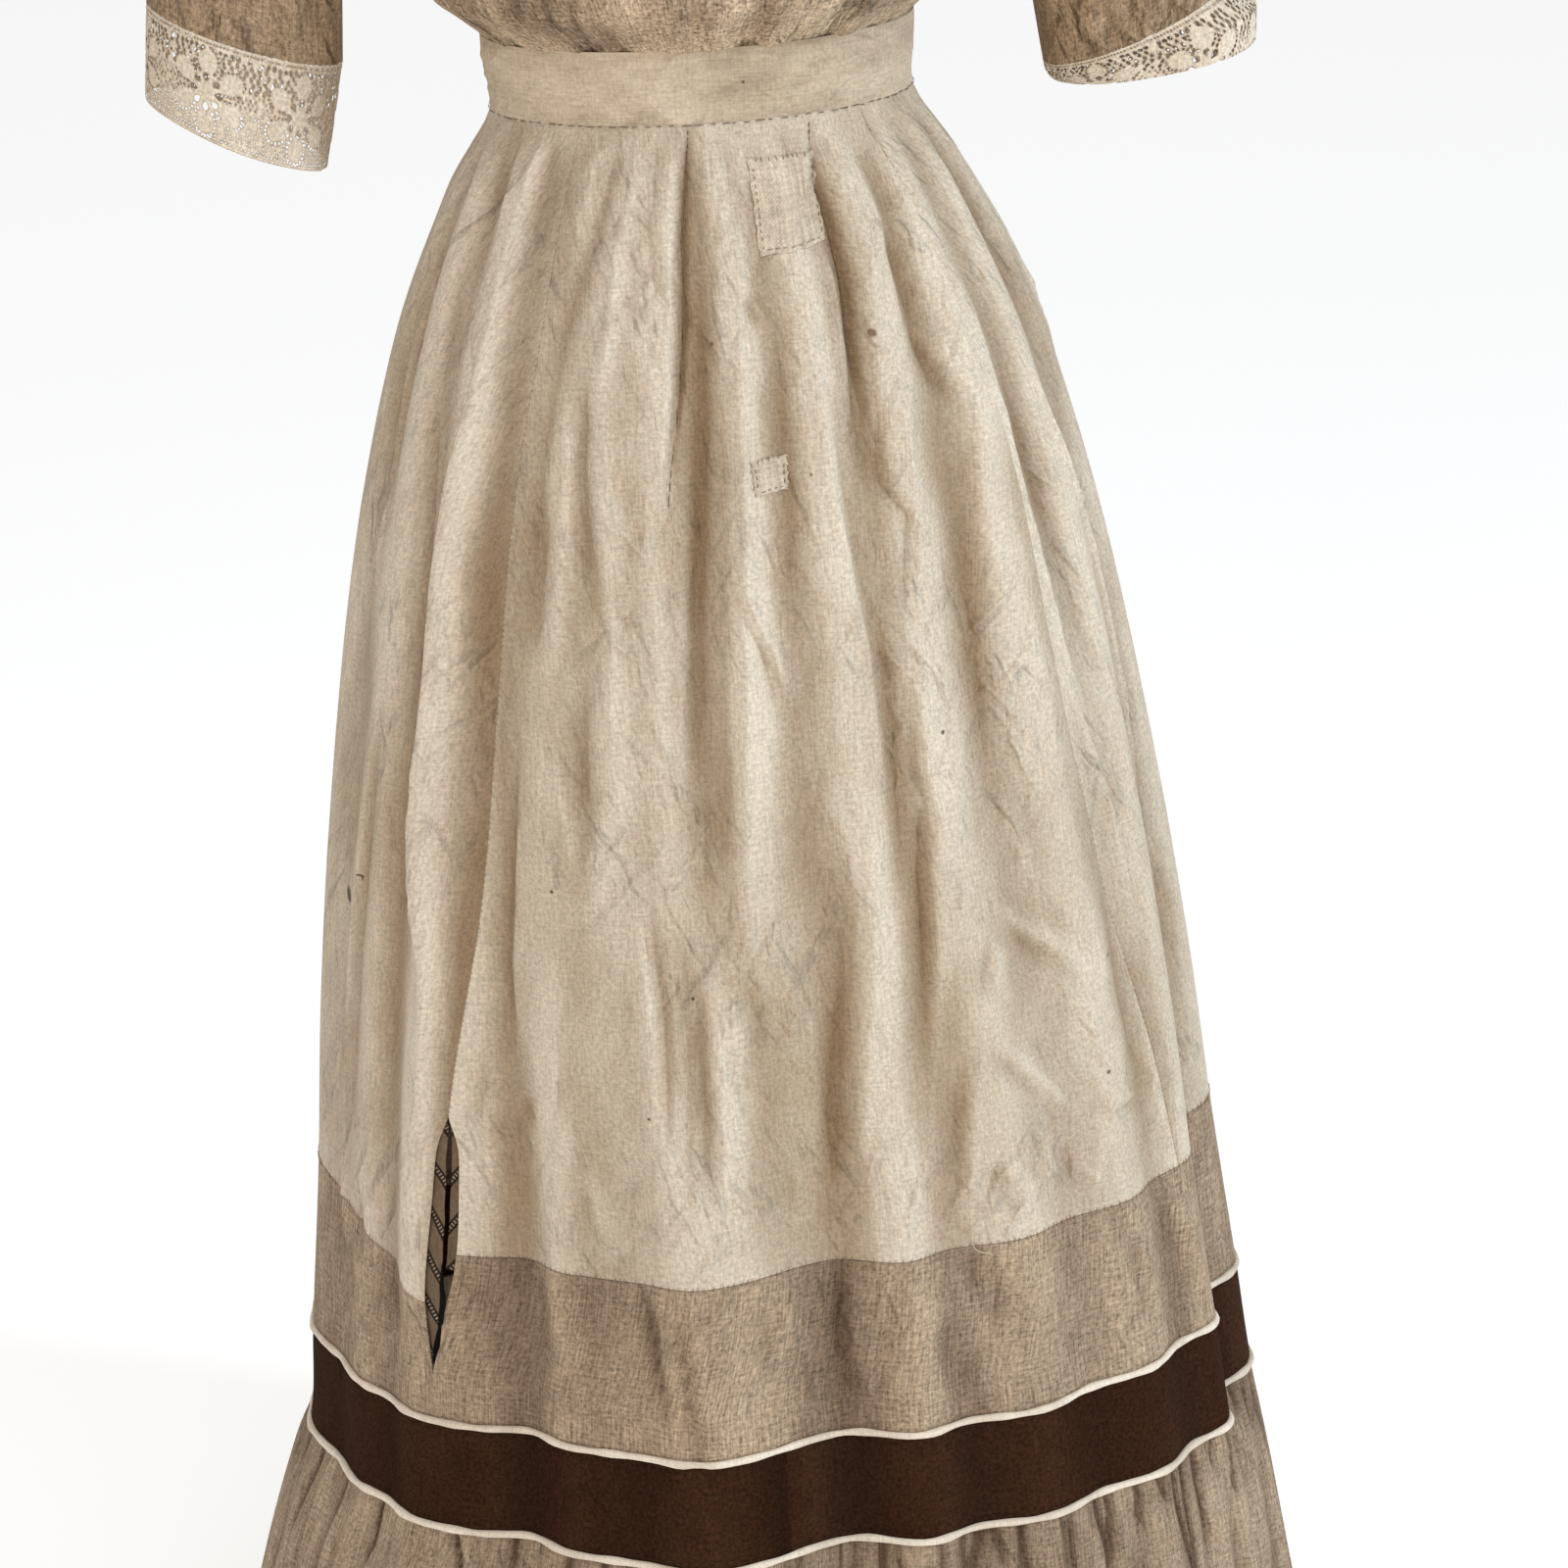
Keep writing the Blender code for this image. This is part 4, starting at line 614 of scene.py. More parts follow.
# a socket takes a link or a plain value
def connect(tree, source, node, socket):
    if isinstance(source, bpy.types.NodeSocket):
        tree.links.new(source, node.inputs[socket])
    else:
        node.inputs[socket].default_value = source


def sums(tree, operation, first, second=0.0):
    node = tree.nodes.new("ShaderNodeMath")
    node.operation = operation
    connect(tree, first, node, 0)
    connect(tree, second, node, 1)
    return node.outputs[0]


def times(tree, first, second):
    return sums(tree, "MULTIPLY", first, second)


def plus(tree, first, second):
    return sums(tree, "ADD", first, second)


def less(tree, first, second):
    return sums(tree, "SUBTRACT", first, second)


def vectorNode(tree, operation, first, second=None):
    node = tree.nodes.new("ShaderNodeVectorMath")
    node.operation = operation
    connect(tree, first, node, 0)
    if second is not None:
        connect(tree, second, node, 1)
    return node


def newMaterial(name):
    material = bpy.data.materials.new(name)
    material.use_nodes = True
    return material, material.node_tree, material.node_tree.nodes["Principled BSDF"]


def noise(tree, vector, scale, detail=2.0, roughness=0.5, flat=False):
    node = tree.nodes.new("ShaderNodeTexNoise")
    node.noise_dimensions = "2D" if flat else "3D"
    connect(tree, vector, node, "Vector")
    node.inputs["Scale"].default_value = scale
    node.inputs["Detail"].default_value = detail
    node.inputs["Roughness"].default_value = roughness
    return node.outputs[0]


def stretched(tree, vector, x, y, z=1.0):
    node = tree.nodes.new("ShaderNodeMapping")
    connect(tree, vector, node, "Vector")
    node.inputs["Scale"].default_value = (x, y, z)
    return node.outputs[0]


def mixColours(tree, factor, first, second):
    node = tree.nodes.new("ShaderNodeMix")
    node.data_type = "RGBA"
    connect(tree, factor, node, 0)
    connect(tree, first, node, 6)
    connect(tree, second, node, 7)
    return node.outputs[2]


def ranged(tree, value, low, high, toLow=0.0, toHigh=1.0):
    node = tree.nodes.new("ShaderNodeMapRange")
    connect(tree, value, node, 0)
    for slot, number in enumerate((low, high, toLow, toHigh), start=1):
        connect(tree, number, node, slot)
    return node.outputs[0]


measureNames = ("Threads", "Slub", "Grain", "Crumple")


# threads of uneven thickness both ways, and crumples with crisp crests, in the cloth's own metres
def makeLinenWeave():
    group, start, end = newGroup(
        "linenWeave",
        [("Cloth", "Vector", None), *((label, "Float", 0.0) for label in measureNames)],
        [("Shade", "Float"), ("Relief", "Float")],
    )
    cloth, threads = start.outputs["Cloth"], start.outputs["Threads"]
    parts = group.nodes.new("ShaderNodeSeparateXYZ")
    connect(group, cloth, parts, 0)
    streaks = []
    for fine, coarse in ((0.52, 0.030), (0.036, 0.46)):
        place = group.nodes.new("ShaderNodeCombineXYZ")
        connect(group, times(group, parts.outputs[0], times(group, threads, fine)), place, 0)
        connect(group, times(group, parts.outputs[1], times(group, threads, coarse)), place, 1)
        streaks.append(noise(group, place.outputs[0], 1.0, detail=2.0, flat=True))
    streak = plus(group, times(group, streaks[1], 0.6), streaks[0])
    streak = less(group, streak, 0.8)
    grain = less(group, noise(group, cloth, 420.0, detail=5.0, roughness=0.75, flat=True), 0.5)
    turn = times(group, threads, math.pi)
    over = sums(group, "SINE", times(group, parts.outputs[0], turn))
    under = sums(group, "SINE", times(group, parts.outputs[1], turn))
    bead = sums(group, "DIVIDE", times(group, over, under), times(group, threads, 7.0))
    thread = sums(group, "DIVIDE", streak, times(group, threads, 2.0))
    # crests run mostly down the cloth, leaning either way, and are stronger in some places
    crests = []
    for scale, lean, tall, sharp, height in ((9.0, 0.45, 0.36, 12.0, 0.70), (19.0, -0.60, 0.50, 10.0, 0.62),
                                             (43.0, 0.30, 0.55, 8.0, 0.46)):
        place = group.nodes.new("ShaderNodeCombineXYZ")
        slanted = plus(group, parts.outputs[0], times(group, parts.outputs[1], lean))
        connect(group, slanted, place, 0)
        connect(group, times(group, parts.outputs[1], tall), place, 1)
        hills = noise(group, place.outputs[0], scale, detail=2.5, roughness=0.48, flat=True)
        away = sums(group, "ABSOLUTE", less(group, hills, 0.5))
        crest = sums(group, "MAXIMUM", less(group, 1.0, times(group, away, sharp)), 0.0)
        side = noise(group, place.outputs[0], scale * 0.8, detail=1.0, flat=True)
        side = ranged(group, side, 0.38, 0.62, -0.55, 1.15)
        crests.append(times(group, times(group, crest, side), height))
    folded = plus(group, plus(group, crests[0], crests[1]), crests[2])
    strong = ranged(group, noise(group, cloth, 7.0, detail=1.0, flat=True), 0.36, 0.60, 0.30, 1.0)
    folded = times(group, folded, strong)
    soft = noise(group, stretched(group, cloth, 1.0, 0.45), 48.0, detail=5.0, roughness=0.60, flat=True)
    crumple = plus(group, folded, times(group, soft, 0.75))
    crumple = times(group, crumple, start.outputs["Crumple"])
    connect(group, plus(group, plus(group, bead, thread), crumple), end, "Relief")
    shade = times(group, streak, start.outputs["Slub"])
    shade = plus(group, shade, times(group, grain, start.outputs["Grain"]))
    # painted highlight on the crumples' crests and painted shade in their troughs, added to the thread tone
    paintedCrestShading = times(group, folded, times(group, start.outputs["Crumple"], 7.0))
    connect(group, plus(group, shade, paintedCrestShading), end, "Shade")
    return group


linenWeave = makeLinenWeave()

# colour, colour where worn, threads per metre, and how strong slubs, grain and crumples are
sewingThread = (3000, 0.3, 0.3, 0.0)
clothFinishes = {
    "creamLinen": ((0.600, 0.511, 0.398), (0.430, 0.336, 0.230), 1900, 0.40, 1.15, 0.0056),
    "waistLinen": ((0.575, 0.470, 0.348), (0.225, 0.158, 0.098), 1900, 0.42, 0.85, 0.0036),
    "bodiceLinen": ((0.500, 0.380, 0.260), (0.150, 0.095, 0.056), 1500, 1.05, 3.10, 0.0125),
    "sleeveLinen": ((0.365, 0.257, 0.162), (0.145, 0.093, 0.055), 1500, 0.95, 2.50, 0.0130),
    "tanLinen": ((0.400, 0.302, 0.208), (0.225, 0.158, 0.105), 1600, 1.15, 2.10, 0.0050),
    "brownCotton": ((0.034, 0.0138, 0.0064), (0.054, 0.025, 0.013), 2400, 0.40, 2.60, 0.0028),
    "pipingCotton": ((0.800, 0.700, 0.580), (0.560, 0.460, 0.350), 2000, 0.40, 0.50, 0.0004),
    "patchLinen": ((0.590, 0.500, 0.392), (0.430, 0.338, 0.242), 900, 0.85, 1.10, 0.0012),
    # dark patch thread, partly painted shadow along the patches' left, lower and right edges
    "patchThreadAndEdgeShade": ((0.250, 0.180, 0.110), (0.170, 0.118, 0.070), *sewingThread),
    # dark thread; it also makes the cords laid as painted shadow lines in the dart troughs
    "darkThreadAndShadow": ((0.110, 0.070, 0.042), (0.060, 0.040, 0.025), *sewingThread),
    "seamThread": ((0.380, 0.285, 0.185), (0.200, 0.140, 0.090), *sewingThread),
    "tanThread": ((0.150, 0.102, 0.066), (0.090, 0.060, 0.038), *sewingThread),
    "brownThread": ((0.012, 0.007, 0.005), (0.020, 0.012, 0.008), *sewingThread),
    "paleThread": ((0.640, 0.550, 0.420), (0.480, 0.390, 0.280), *sewingThread),
    "laceThread": ((0.680, 0.590, 0.470), (0.500, 0.385, 0.270), 1900, 0.30, 1.60, 0.0010),
    "facingPrint": ((0.165, 0.116, 0.074), (0.120, 0.082, 0.051), 2000, 0.5, 1.0, 0.0008),
}
# painted shade colours for the troughs, the lace's hole edges and the facing's free edge, also mixed in at
# strong blotches; a painted highlight colour for the ridges; and how far blotches run each way
shadeAndBlotchColours = {
    "creamLinen": (0.265, 0.180, 0.106),
    "tanLinen": (0.125, 0.080, 0.050),
    "brownCotton": (0.017, 0.008, 0.004),
    "laceThread": (0.300, 0.205, 0.125),
    "facingPrint": (0.004, 0.003, 0.003),
}
paintedHighlightColours = {"creamLinen": (0.720, 0.640, 0.525)}
blotchRuns = {"waistLinen": (0.30, 0.30, 0.9)}
blotchRun = (1.0, 1.0, 0.35)
clothRoughness = 0.94
clothShine = 0.10
darkShine = 0.03
# small stains and worn holes, in the skirt's angles and drops: half width and half height in mm, colour
stains = {
    "creamLinen": (
        ((-72.8, 0.446), 1.3, 4.2, (0.045, 0.030, 0.018)),
        ((-66.6, 0.427), 2.6, 0.7, (0.090, 0.060, 0.036)),
        ((-65.4, 0.428), 0.6, 1.7, (0.090, 0.060, 0.036)),
        ((-27.6, 0.407), 0.9, 0.9, (0.030, 0.020, 0.014)),
        ((-8.7, 0.465), 1.0, 1.1, (0.050, 0.035, 0.020)),
        ((-14.8, 0.532), 1.1, 1.0, (0.090, 0.060, 0.036)),
        ((-1.5, 0.112), 1.2, 1.5, (0.200, 0.110, 0.070)),
        ((27.9, 0.114), 2.4, 2.2, (0.150, 0.090, 0.050)),
        ((12.9, 0.183), 1.0, 1.2, (0.240, 0.150, 0.090)),
        ((27.8, 0.331), 1.1, 1.4, (0.070, 0.050, 0.030)),
        ((47.4, 0.550), 1.2, 1.3, (0.060, 0.045, 0.030)),
        ((51.3, 0.486), 0.9, 1.0, (0.150, 0.110, 0.070)),
    ),
    "waistLinen": (((10.5, -0.022), 1.1, 1.0, (0.100, 0.065, 0.040)),),
}
lighting = {
    "sky": 0.58,
    "floorColour": 0.94,
    "floorGlow": 0.36,
    "floorZ": -1.44,
    "floorSize": 40,
    "lookAt": (0, 0, -0.8),
    "lights": {
        "keyLight": {"place": (2.9, -1.5, 0.7), "size": 0.40, "power": 56.0, "colour": (0.73, 0.87, 1.0)},
        "topLight": {"place": (0.3, -1.6, 2.0), "size": 1.2, "power": 11.0, "colour": (1.0, 1.0, 1.0)},
        "warmLight": {"place": (-0.9, -2.9, 0.5), "size": 0.8, "power": 21.0, "colour": (1.0, 0.84, 0.68)},
    },
}


def makeStainSpot():
    group, start, end = newGroup(
        "stainSpot",
        [*((label, "Vector", None) for label in ("Place", "Middle", "Size")), ("Uneven", "Float", 0.0)],
        [("Mask", "Float")],
    )
    away = vectorNode(group, "SUBTRACT", start.outputs["Place"], start.outputs["Middle"])
    scaled = vectorNode(group, "DIVIDE", away.outputs[0], start.outputs["Size"])
    length = vectorNode(group, "LENGTH", scaled.outputs[0])
    reach = plus(group, length.outputs["Value"], start.outputs["Uneven"])
    connect(group, ranged(group, reach, 1.25, 0.75), end, "Mask")
    return group


stainSpot = makeStainSpot()


def addStains(tree, place, uneven, colour, rows):
    for (angle, drop), halfWidth, halfHeight, tint in rows:
        middle = skirtSurface(np.array(float(angle)), np.array(drop))
        spot = tree.nodes.new("ShaderNodeGroup")
        spot.node_tree = stainSpot
        tree.links.new(place, spot.inputs["Place"])
        tree.links.new(uneven, spot.inputs["Uneven"])
        spot.inputs["Middle"].default_value = tuple(float(value) for value in middle)
        spot.inputs["Size"].default_value = (halfWidth * 0.001, 0.02, halfHeight * 0.001)
        colour = mixColours(tree, times(tree, spot.outputs["Mask"], 0.85), colour, (*tint, 1))
    return colour


# ladders across the facings: two rails with rungs between, slanting over the strip, in its own metres
ladder = {
    "pitch": 0.029,
    "slant": 1.25,
    "half": 0.0030,
    "rail": 0.0012,
    "rung": 0.0036,
    "rungShare": 0.50,
    "paleColour": (0.300, 0.225, 0.150),
    "darkColour": (0.014, 0.010, 0.009),
}


def ladderMask(tree, cloth):
    parts = tree.nodes.new("ShaderNodeSeparateXYZ")
    connect(tree, cloth, parts, 0)
    across = plus(tree, parts.outputs[1], times(tree, parts.outputs[0], ladder["slant"]))
    along = less(tree, parts.outputs[0], times(tree, parts.outputs[1], ladder["slant"]))
    band = sums(tree, "PINGPONG", across, ladder["pitch"] / 2)
    rails = ranged(tree, sums(tree, "ABSOLUTE", less(tree, band, ladder["half"])), ladder["rail"] * 1.3,
                   ladder["rail"] * 0.7)
    inside = ranged(tree, band, ladder["half"] * 1.02, ladder["half"] * 0.95)
    rung = sums(tree, "PINGPONG", along, ladder["rung"] / 2)
    thick = ladder["rung"] * ladder["rungShare"] / 2
    rungs = ranged(tree, rung, thick * 1.15, thick * 0.85)
    return sums(tree, "MAXIMUM", rails, times(tree, rungs, inside)), inside


def clothMaterial(name):
    plain, wornColour, *measures = clothFinishes[name]
    material, tree, shader = newMaterial(name)
    place = tree.nodes.new("ShaderNodeTexCoord")
    weave = tree.nodes.new("ShaderNodeGroup")
    weave.node_tree = linenWeave
    tree.links.new(place.outputs["UV"], weave.inputs["Cloth"])
    for label, measure in zip(measureNames, measures):
        weave.inputs[label].default_value = measure
    spread = stretched(tree, place.outputs["Object"], *blotchRuns.get(name, blotchRun))
    blotches = noise(tree, spread, 17.0, detail=5.0, roughness=0.62)
    specks = noise(tree, place.outputs["Object"], 110.0, detail=4.0, roughness=0.7)
    worn = ranged(tree, plus(tree, blotches, times(tree, specks, 0.25)), 0.54, 0.86)
    colour = mixColours(tree, worn, (*plain, 1), (*wornColour, 1))
    if name == "facingPrint":
        dark, inside = ladderMask(tree, place.outputs["UV"])
        colour = mixColours(tree, times(tree, inside, 0.8), colour, (*ladder["paleColour"], 1))
        colour = mixColours(tree, times(tree, dark, 0.95), colour, (*ladder["darkColour"], 1))
    # painted shade: a darker, browner colour where the shading attribute is high, and also in strong blotches
    if name in shadeAndBlotchColours:
        deep = tree.nodes.new("ShaderNodeAttribute")
        deep.attribute_name = "paintedShading"
        shadeAndBlotches = ranged(tree, plus(tree, deep.outputs["Fac"], times(tree, blotches, 0.8)), 0.15, 1.5)
        colour = mixColours(tree, shadeAndBlotches, colour, (*shadeAndBlotchColours[name], 1))
    # painted highlight: a paler colour on the ridges
    if name in paintedHighlightColours:
        lit = ranged(tree, deep.outputs["Fac"], -0.05, -0.75, 0.0, 0.5)
        colour = mixColours(tree, lit, colour, (*paintedHighlightColours[name], 1))
    if name in stains:
        colour = addStains(tree, place.outputs["Object"], less(tree, specks, 0.5), colour, stains[name])
    bright = plus(tree, weave.outputs["Shade"], plus(tree, times(tree, specks, 0.24), 0.88))
    shaded = vectorNode(tree, "SCALE", colour)
    tree.links.new(bright, shaded.inputs["Scale"])
    tree.links.new(shaded.outputs[0], shader.inputs["Base Color"])
    bump = tree.nodes.new("ShaderNodeBump")
    bump.inputs["Distance"].default_value = 1.0
    tree.links.new(weave.outputs["Relief"], bump.inputs["Height"])
    tree.links.new(bump.outputs[0], shader.inputs["Normal"])
    shader.inputs["Roughness"].default_value = clothRoughness
    shader.inputs["Specular IOR Level"].default_value = darkShine if name == "brownCotton" else clothShine
    return material


finishes = {name: clothMaterial(name) for name in clothFinishes}
print("materials made")

# gores
gores = {
    "seamDrops": (0.000, 0.100, 0.200, 0.300, 0.430, 0.547, 0.630),
    "seams": {
        "frontLeft": (-35.8, -34.6, -37.0, -37.9, -39.8, -43.4, -43.8),
        "frontRight": (46.0, 48.0, 49.6, 50.2, 53.3, 58.5, 60.5),
        "backRight": (121.0, 121.0, 121.2, 121.2, 121.0, 121.0, 121.0),
        "centreBack": (180.0, 180.3, 180.7, 181.0, 182.0, 182.6, 183.0),
        "backLeft": (241.0, 241.0, 241.0, 241.0, 241.2, 241.0, 241.0),
    },
    # node, seams at its left and right, columns, rows, flat size and area
    "pieces": {
        "frontGore": ("gore_front", "frontLeft", "frontRight", 204, 152, (0.52, 0.63), 0.24),
        "sideGoreRight": ("gore_side_right", "frontRight", "backRight", 110, 90, (0.35, 0.63), 0.15),
        "backGoreRight": ("gore_back_right", "backRight", "centreBack", 90, 80, (0.36, 0.63), 0.16),
        "backGoreLeft": ("gore_back_left", "centreBack", "backLeft", 90, 80, (0.36, 0.63), 0.16),
        "sideGoreLeft": ("gore_side_left", "backLeft", "frontLeft", 112, 90, (0.45, 0.63), 0.20),
    },
    "edgeRoll": (0.00010, 0.0015),
    "tuckedUp": 0.004,
    "tuckedIn": 0.0012,
    "seamGap": 0.0002,
}
slit = {
    "top": 0.547,
    "bottom": 0.706,
    "halfDrops": (0.547, 0.565, 0.590, 0.630, 0.665, 0.706),
    "half": (0.0, 1.2, 1.5, 1.75, 1.3, 0.0),
    "sagEdge": -44.5,
    "sagAngles": (-105.0, -85.0, -72.0, -60.0, -53.0, -47.0),
    "sag": (0.0, -0.007, -0.001, 0.0125, 0.0215, 0.030),
    "sagRightAngles": (58.0, 75.0, 90.0, 110.0),
    "sagRight": (0.0, -0.007, -0.011, 0.0),
    "angleDrops": (0.547, 0.590, 0.630, 0.706),
    "angle": (-43.4, -43.9, -44.6, -46.4),
    "sagFrom": 0.560,
    "sagUntil": 0.075,
}


def slitHalf(drop):
    half = readCurve(slit["halfDrops"], slit["half"], drop)
    return np.where((drop <= slit["top"]) | (drop >= slit["bottom"]), 0.0, half)


def slitAngle(drop):
    return readCurve(slit["angleDrops"], slit["angle"], drop)


# the cream cloth hangs lower at the slit's left edge, and a little higher at both sides
def seamSag(angle):
    signed = turnedBetween(angle)
    left = np.where(signed < slit["sagEdge"], np.interp(signed, slit["sagAngles"], slit["sag"]), 0.0)
    right = np.interp(signed, slit["sagRightAngles"], slit["sagRight"])
    return left + np.where(signed > 0, right, 0.0)


def sagAbove(drop):
    return ease((drop - slit["sagFrom"]) / (skirt["seamDrop"] - slit["sagFrom"]))


def sagBelow(drop):
    return 1 - ease((drop - skirt["seamDrop"]) / slit["sagUntil"])


def goreEdges(left, right, drop):
    low = readCurve(gores["seamDrops"], gores["seams"][left], drop)
    high = readCurve(gores["seamDrops"], gores["seams"][right], drop)
    if left == "frontLeft":
        low = np.where(drop > slit["top"], slitAngle(drop) + slitHalf(drop), low)
    if right == "frontLeft":
        high = np.where(drop > slit["top"], slitAngle(drop) - slitHalf(drop), high)
    return low, np.where(high < low, high + 360.0, high)


def makeGore(name, node, left, right, columns, rows, cut, area):
    drop = np.linspace(-gores["tuckedUp"], skirt["seamDrop"] - gores["seamGap"], rows + 1)[:, None]
    sagged = slit["sag"][-1] * sagAbove(drop) if right == "frontLeft" else 0.0
    low, high = goreEdges(left, right, drop + sagged)
    share = np.linspace(0, 1, columns + 1)[None, :]
    angle = low + (high - low) * share
    drop = drop + seamSag(angle) * sagAbove(drop)
    width = np.radians(high - low) * skirtRadius(drop)
    fromEdge = np.minimum(share, 1 - share) * width
    roll = -gores["edgeRoll"][0] * np.exp(-((fromEdge / gores["edgeRoll"][1]) ** 2))
    tucked = -gores["tuckedIn"] * ease(-drop / gores["tuckedUp"])
    drop = drop + 0 * angle
    out = skirtCreased(angle, drop) + roll + tucked
    paintedShading = hollows(angle, drop, out)
    points = skirtSurface(angle, drop, out)
    piece = sheetMesh(name, points, finishes["creamLinen"], paintedShading=paintedShading)
    settle(piece, [node])


for name, gore in gores["pieces"].items():
    makeGore(name, *gore)
print("gores made")

# bands, pipings and flounce; turned: how deep the bands are turned in, and within what
bands = {
    "columns": 360,
    "waistRows": 28,
    "tanRows": 30,
    "brownRows": 18,
    "pipingRadius": 0.0021,
    "pipingSides": 8,
    "turned": (0.0017, 0.0045),
    "waistRadius": 0.12,
    "waistBulge": 0.0012,
    # the rolled lower edge: size, height above the seam and half width
    "waistEdge": (0.0005, 0.001, 0.0012),
}
waistCreases = [
    (2.2, 0.8, 0, (-33, -0.024), (-26, -0.026), (-18, -0.024)),
    (2.4, -0.9, 0, (-35, -0.019), (-27, -0.021), (-16, -0.018)),
    (2.2, 0.7, 0, (-30, -0.013), (-22, -0.014), (-12, -0.012)),
    (2.6, -0.8, 0, (22, -0.030), (32, -0.026), (44, -0.020)),
    (2.4, 0.8, 0, (18, -0.014), (30, -0.012), (40, -0.006)),
    (2.6, 0.7, 0, (-6, -0.028), (4, -0.026), (15, -0.027)),
] + looseCreases(31, 70, (-178, 178), (-0.037, -0.005), (1.1, 2.0), (0.012, 0.055), (1.8, 3.4), (0.40, 1.10))


def makeWaistband():
    drop = np.linspace(-skirt["bandHeight"], 0.0, bands["waistRows"] + 1)[:, None]
    angle = bandAngles()
    bulge = bands["waistBulge"] * np.sin(math.pi * (drop + skirt["bandHeight"]) / skirt["bandHeight"])
    signed = turnedBetween(angle)
    creased = creaseHeight(waistCreases, signed, drop, bands["waistRadius"])
    size, above, half = bands["waistEdge"]
    edge = size * np.exp(-(((drop + above) / half) ** 2))
    points = skirtSurface(angle, drop, bulge + creased + edge)
    piece = sheetMesh("waistbandCloth", points, finishes["waistLinen"], ring=True)
    # cut the other way of the cloth
    for corner in piece.data.uv_layers["cloth"].data:
        corner.uv = (corner.uv.y, corner.uv.x)
    settle(piece, ["waistband"])


# the bands are turned in behind the pipings
def turnedIn(drop, edge):
    return -bands["turned"][0] * (1 - ease(np.abs(drop - edge) / bands["turned"][1]))


def bandAngles():
    return np.linspace(0, 360, bands["columns"] + 1)[None, :]


def makeTanBand():
    top, end = skirt["seamDrop"] + gores["seamGap"], skirt["upperPiping"]
    drop = np.linspace(top, end, bands["tanRows"] + 1)[:, None]
    sagged = drop + slit["sag"][-1] * sagBelow(drop)
    # one sheet from the slit's right edge round to its left one
    low = slitAngle(drop) + slitHalf(drop)
    high = slitAngle(sagged) - slitHalf(sagged) + 360.0
    angle = low + (high - low) * np.linspace(0, 1, bands["columns"] + 1)[None, :]
    drop = drop + seamSag(angle) * sagBelow(drop)
    out = skirtCreased(angle, drop) + turnedIn(drop, end)
    points = skirtSurface(angle, drop, out)
    piece = sheetMesh("tanBandCloth", points, finishes["tanLinen"], paintedShading=hollows(angle, drop, out))
    settle(piece, ["tan_band"])


def makeBrownBand():
    drop = np.linspace(skirt["upperPiping"], skirt["lowerPiping"], bands["brownRows"] + 1)[:, None]
    angle = bandAngles()
    turned = [turnedIn(drop, skirt[edge]) for edge in ("upperPiping", "lowerPiping")]
    out = skirtCreased(angle, drop) + turned[0] + turned[1]
    paintedShading = hollows(angle + 0 * drop, drop + 0 * angle, out)
    points = skirtSurface(angle, drop, out)
    piece = sheetMesh("brownBandCloth", points, finishes["brownCotton"], ring=True, paintedShading=paintedShading)
    settle(piece, ["brown_band"])


def makePiping(name, node, drop):
    angle = bandAngles()
    turn = np.linspace(0, 2 * math.pi, bands["pipingSides"] + 1)[:, None]
    spin = np.radians(angle)
    radius = bands["pipingRadius"] * (1 + 0.10 * np.sin(spin * 47) + 0.08 * np.sin(spin * 83 + 1))
    out = 0.0001 + radius * np.sin(turn) + skirtCreased(angle, drop)
    points = skirtSurface(angle, drop - radius * np.cos(turn), out)
    piece = sheetMesh(name, points, finishes["pipingCotton"], ring=True, wall=0, tube=True)
    settle(piece, [node])


flounce = {
    "gathers": 58,
    "size": (0.0006, 0.0052),
    "columns": 840,
    "rows": 24,
    "packing": 1.25,
    "creaseRadius": 0.30,
    "creaseEnd": 0.30,
    "gatherCount": 120,
    "gatherStep": 3.0,
    "gatherStart": -63.0,
    "handMade": (-80, -24),
}
flounceCreases = inMetres((
    (2.6, -4.0, 1, -76.0, 788, -76.6, 812, -77.5, 840, -78.0, 868),
    (3.0, 3.0, -1, -72.5, 788, -73.6, 815, -74.0, 850, -74.8, 890),
    (2.8, -4.5, 1, -66.0, 788, -66.8, 812, -68.0, 845, -68.4, 890),
    (2.4, -3.5, 0, -57.0, 788, -57.6, 806, -57.0, 826, -58.2, 850),
    (2.6, -4.0, 1, -43.5, 788, -43.0, 803, -41.5, 818, -41.8, 850),
    (2.4, -3.2, 0, -36.0, 788, -35.8, 806, -35.4, 826),
    (2.4, -3.0, 0, -27.0, 788, -27.2, 806, -27.8, 826),
))


# the others, strewn round the rest of the flounce
def looseGathers(seed):
    dice = random.Random(seed)
    rows = []
    for number in range(flounce["gatherCount"]):
        at = flounce["gatherStart"] + (number + dice.uniform(0.1, 0.9)) * flounce["gatherStep"]
        at = at if at < 180 else at - 360
        if flounce["handMade"][0] < at < flounce["handMade"][1]:
            continue
        reach, lean, sway = dice.uniform(0.03, 0.12), dice.uniform(-1.2, 1.2), dice.uniform(-0.7, 0.7)
        rows.append((
            dice.uniform(2.4, 3.4), dice.uniform(-4.4, -2.0), dice.choice((-1, 0, 1)),
            (at, 0.780), (at + lean * 0.2 + sway, 0.790 + reach * 0.35),
            (at + lean * 0.6 - sway, 0.790 + reach * 0.7), (at + lean, 0.790 + reach),
        ))
    return rows


flounceCreases += looseGathers(62)


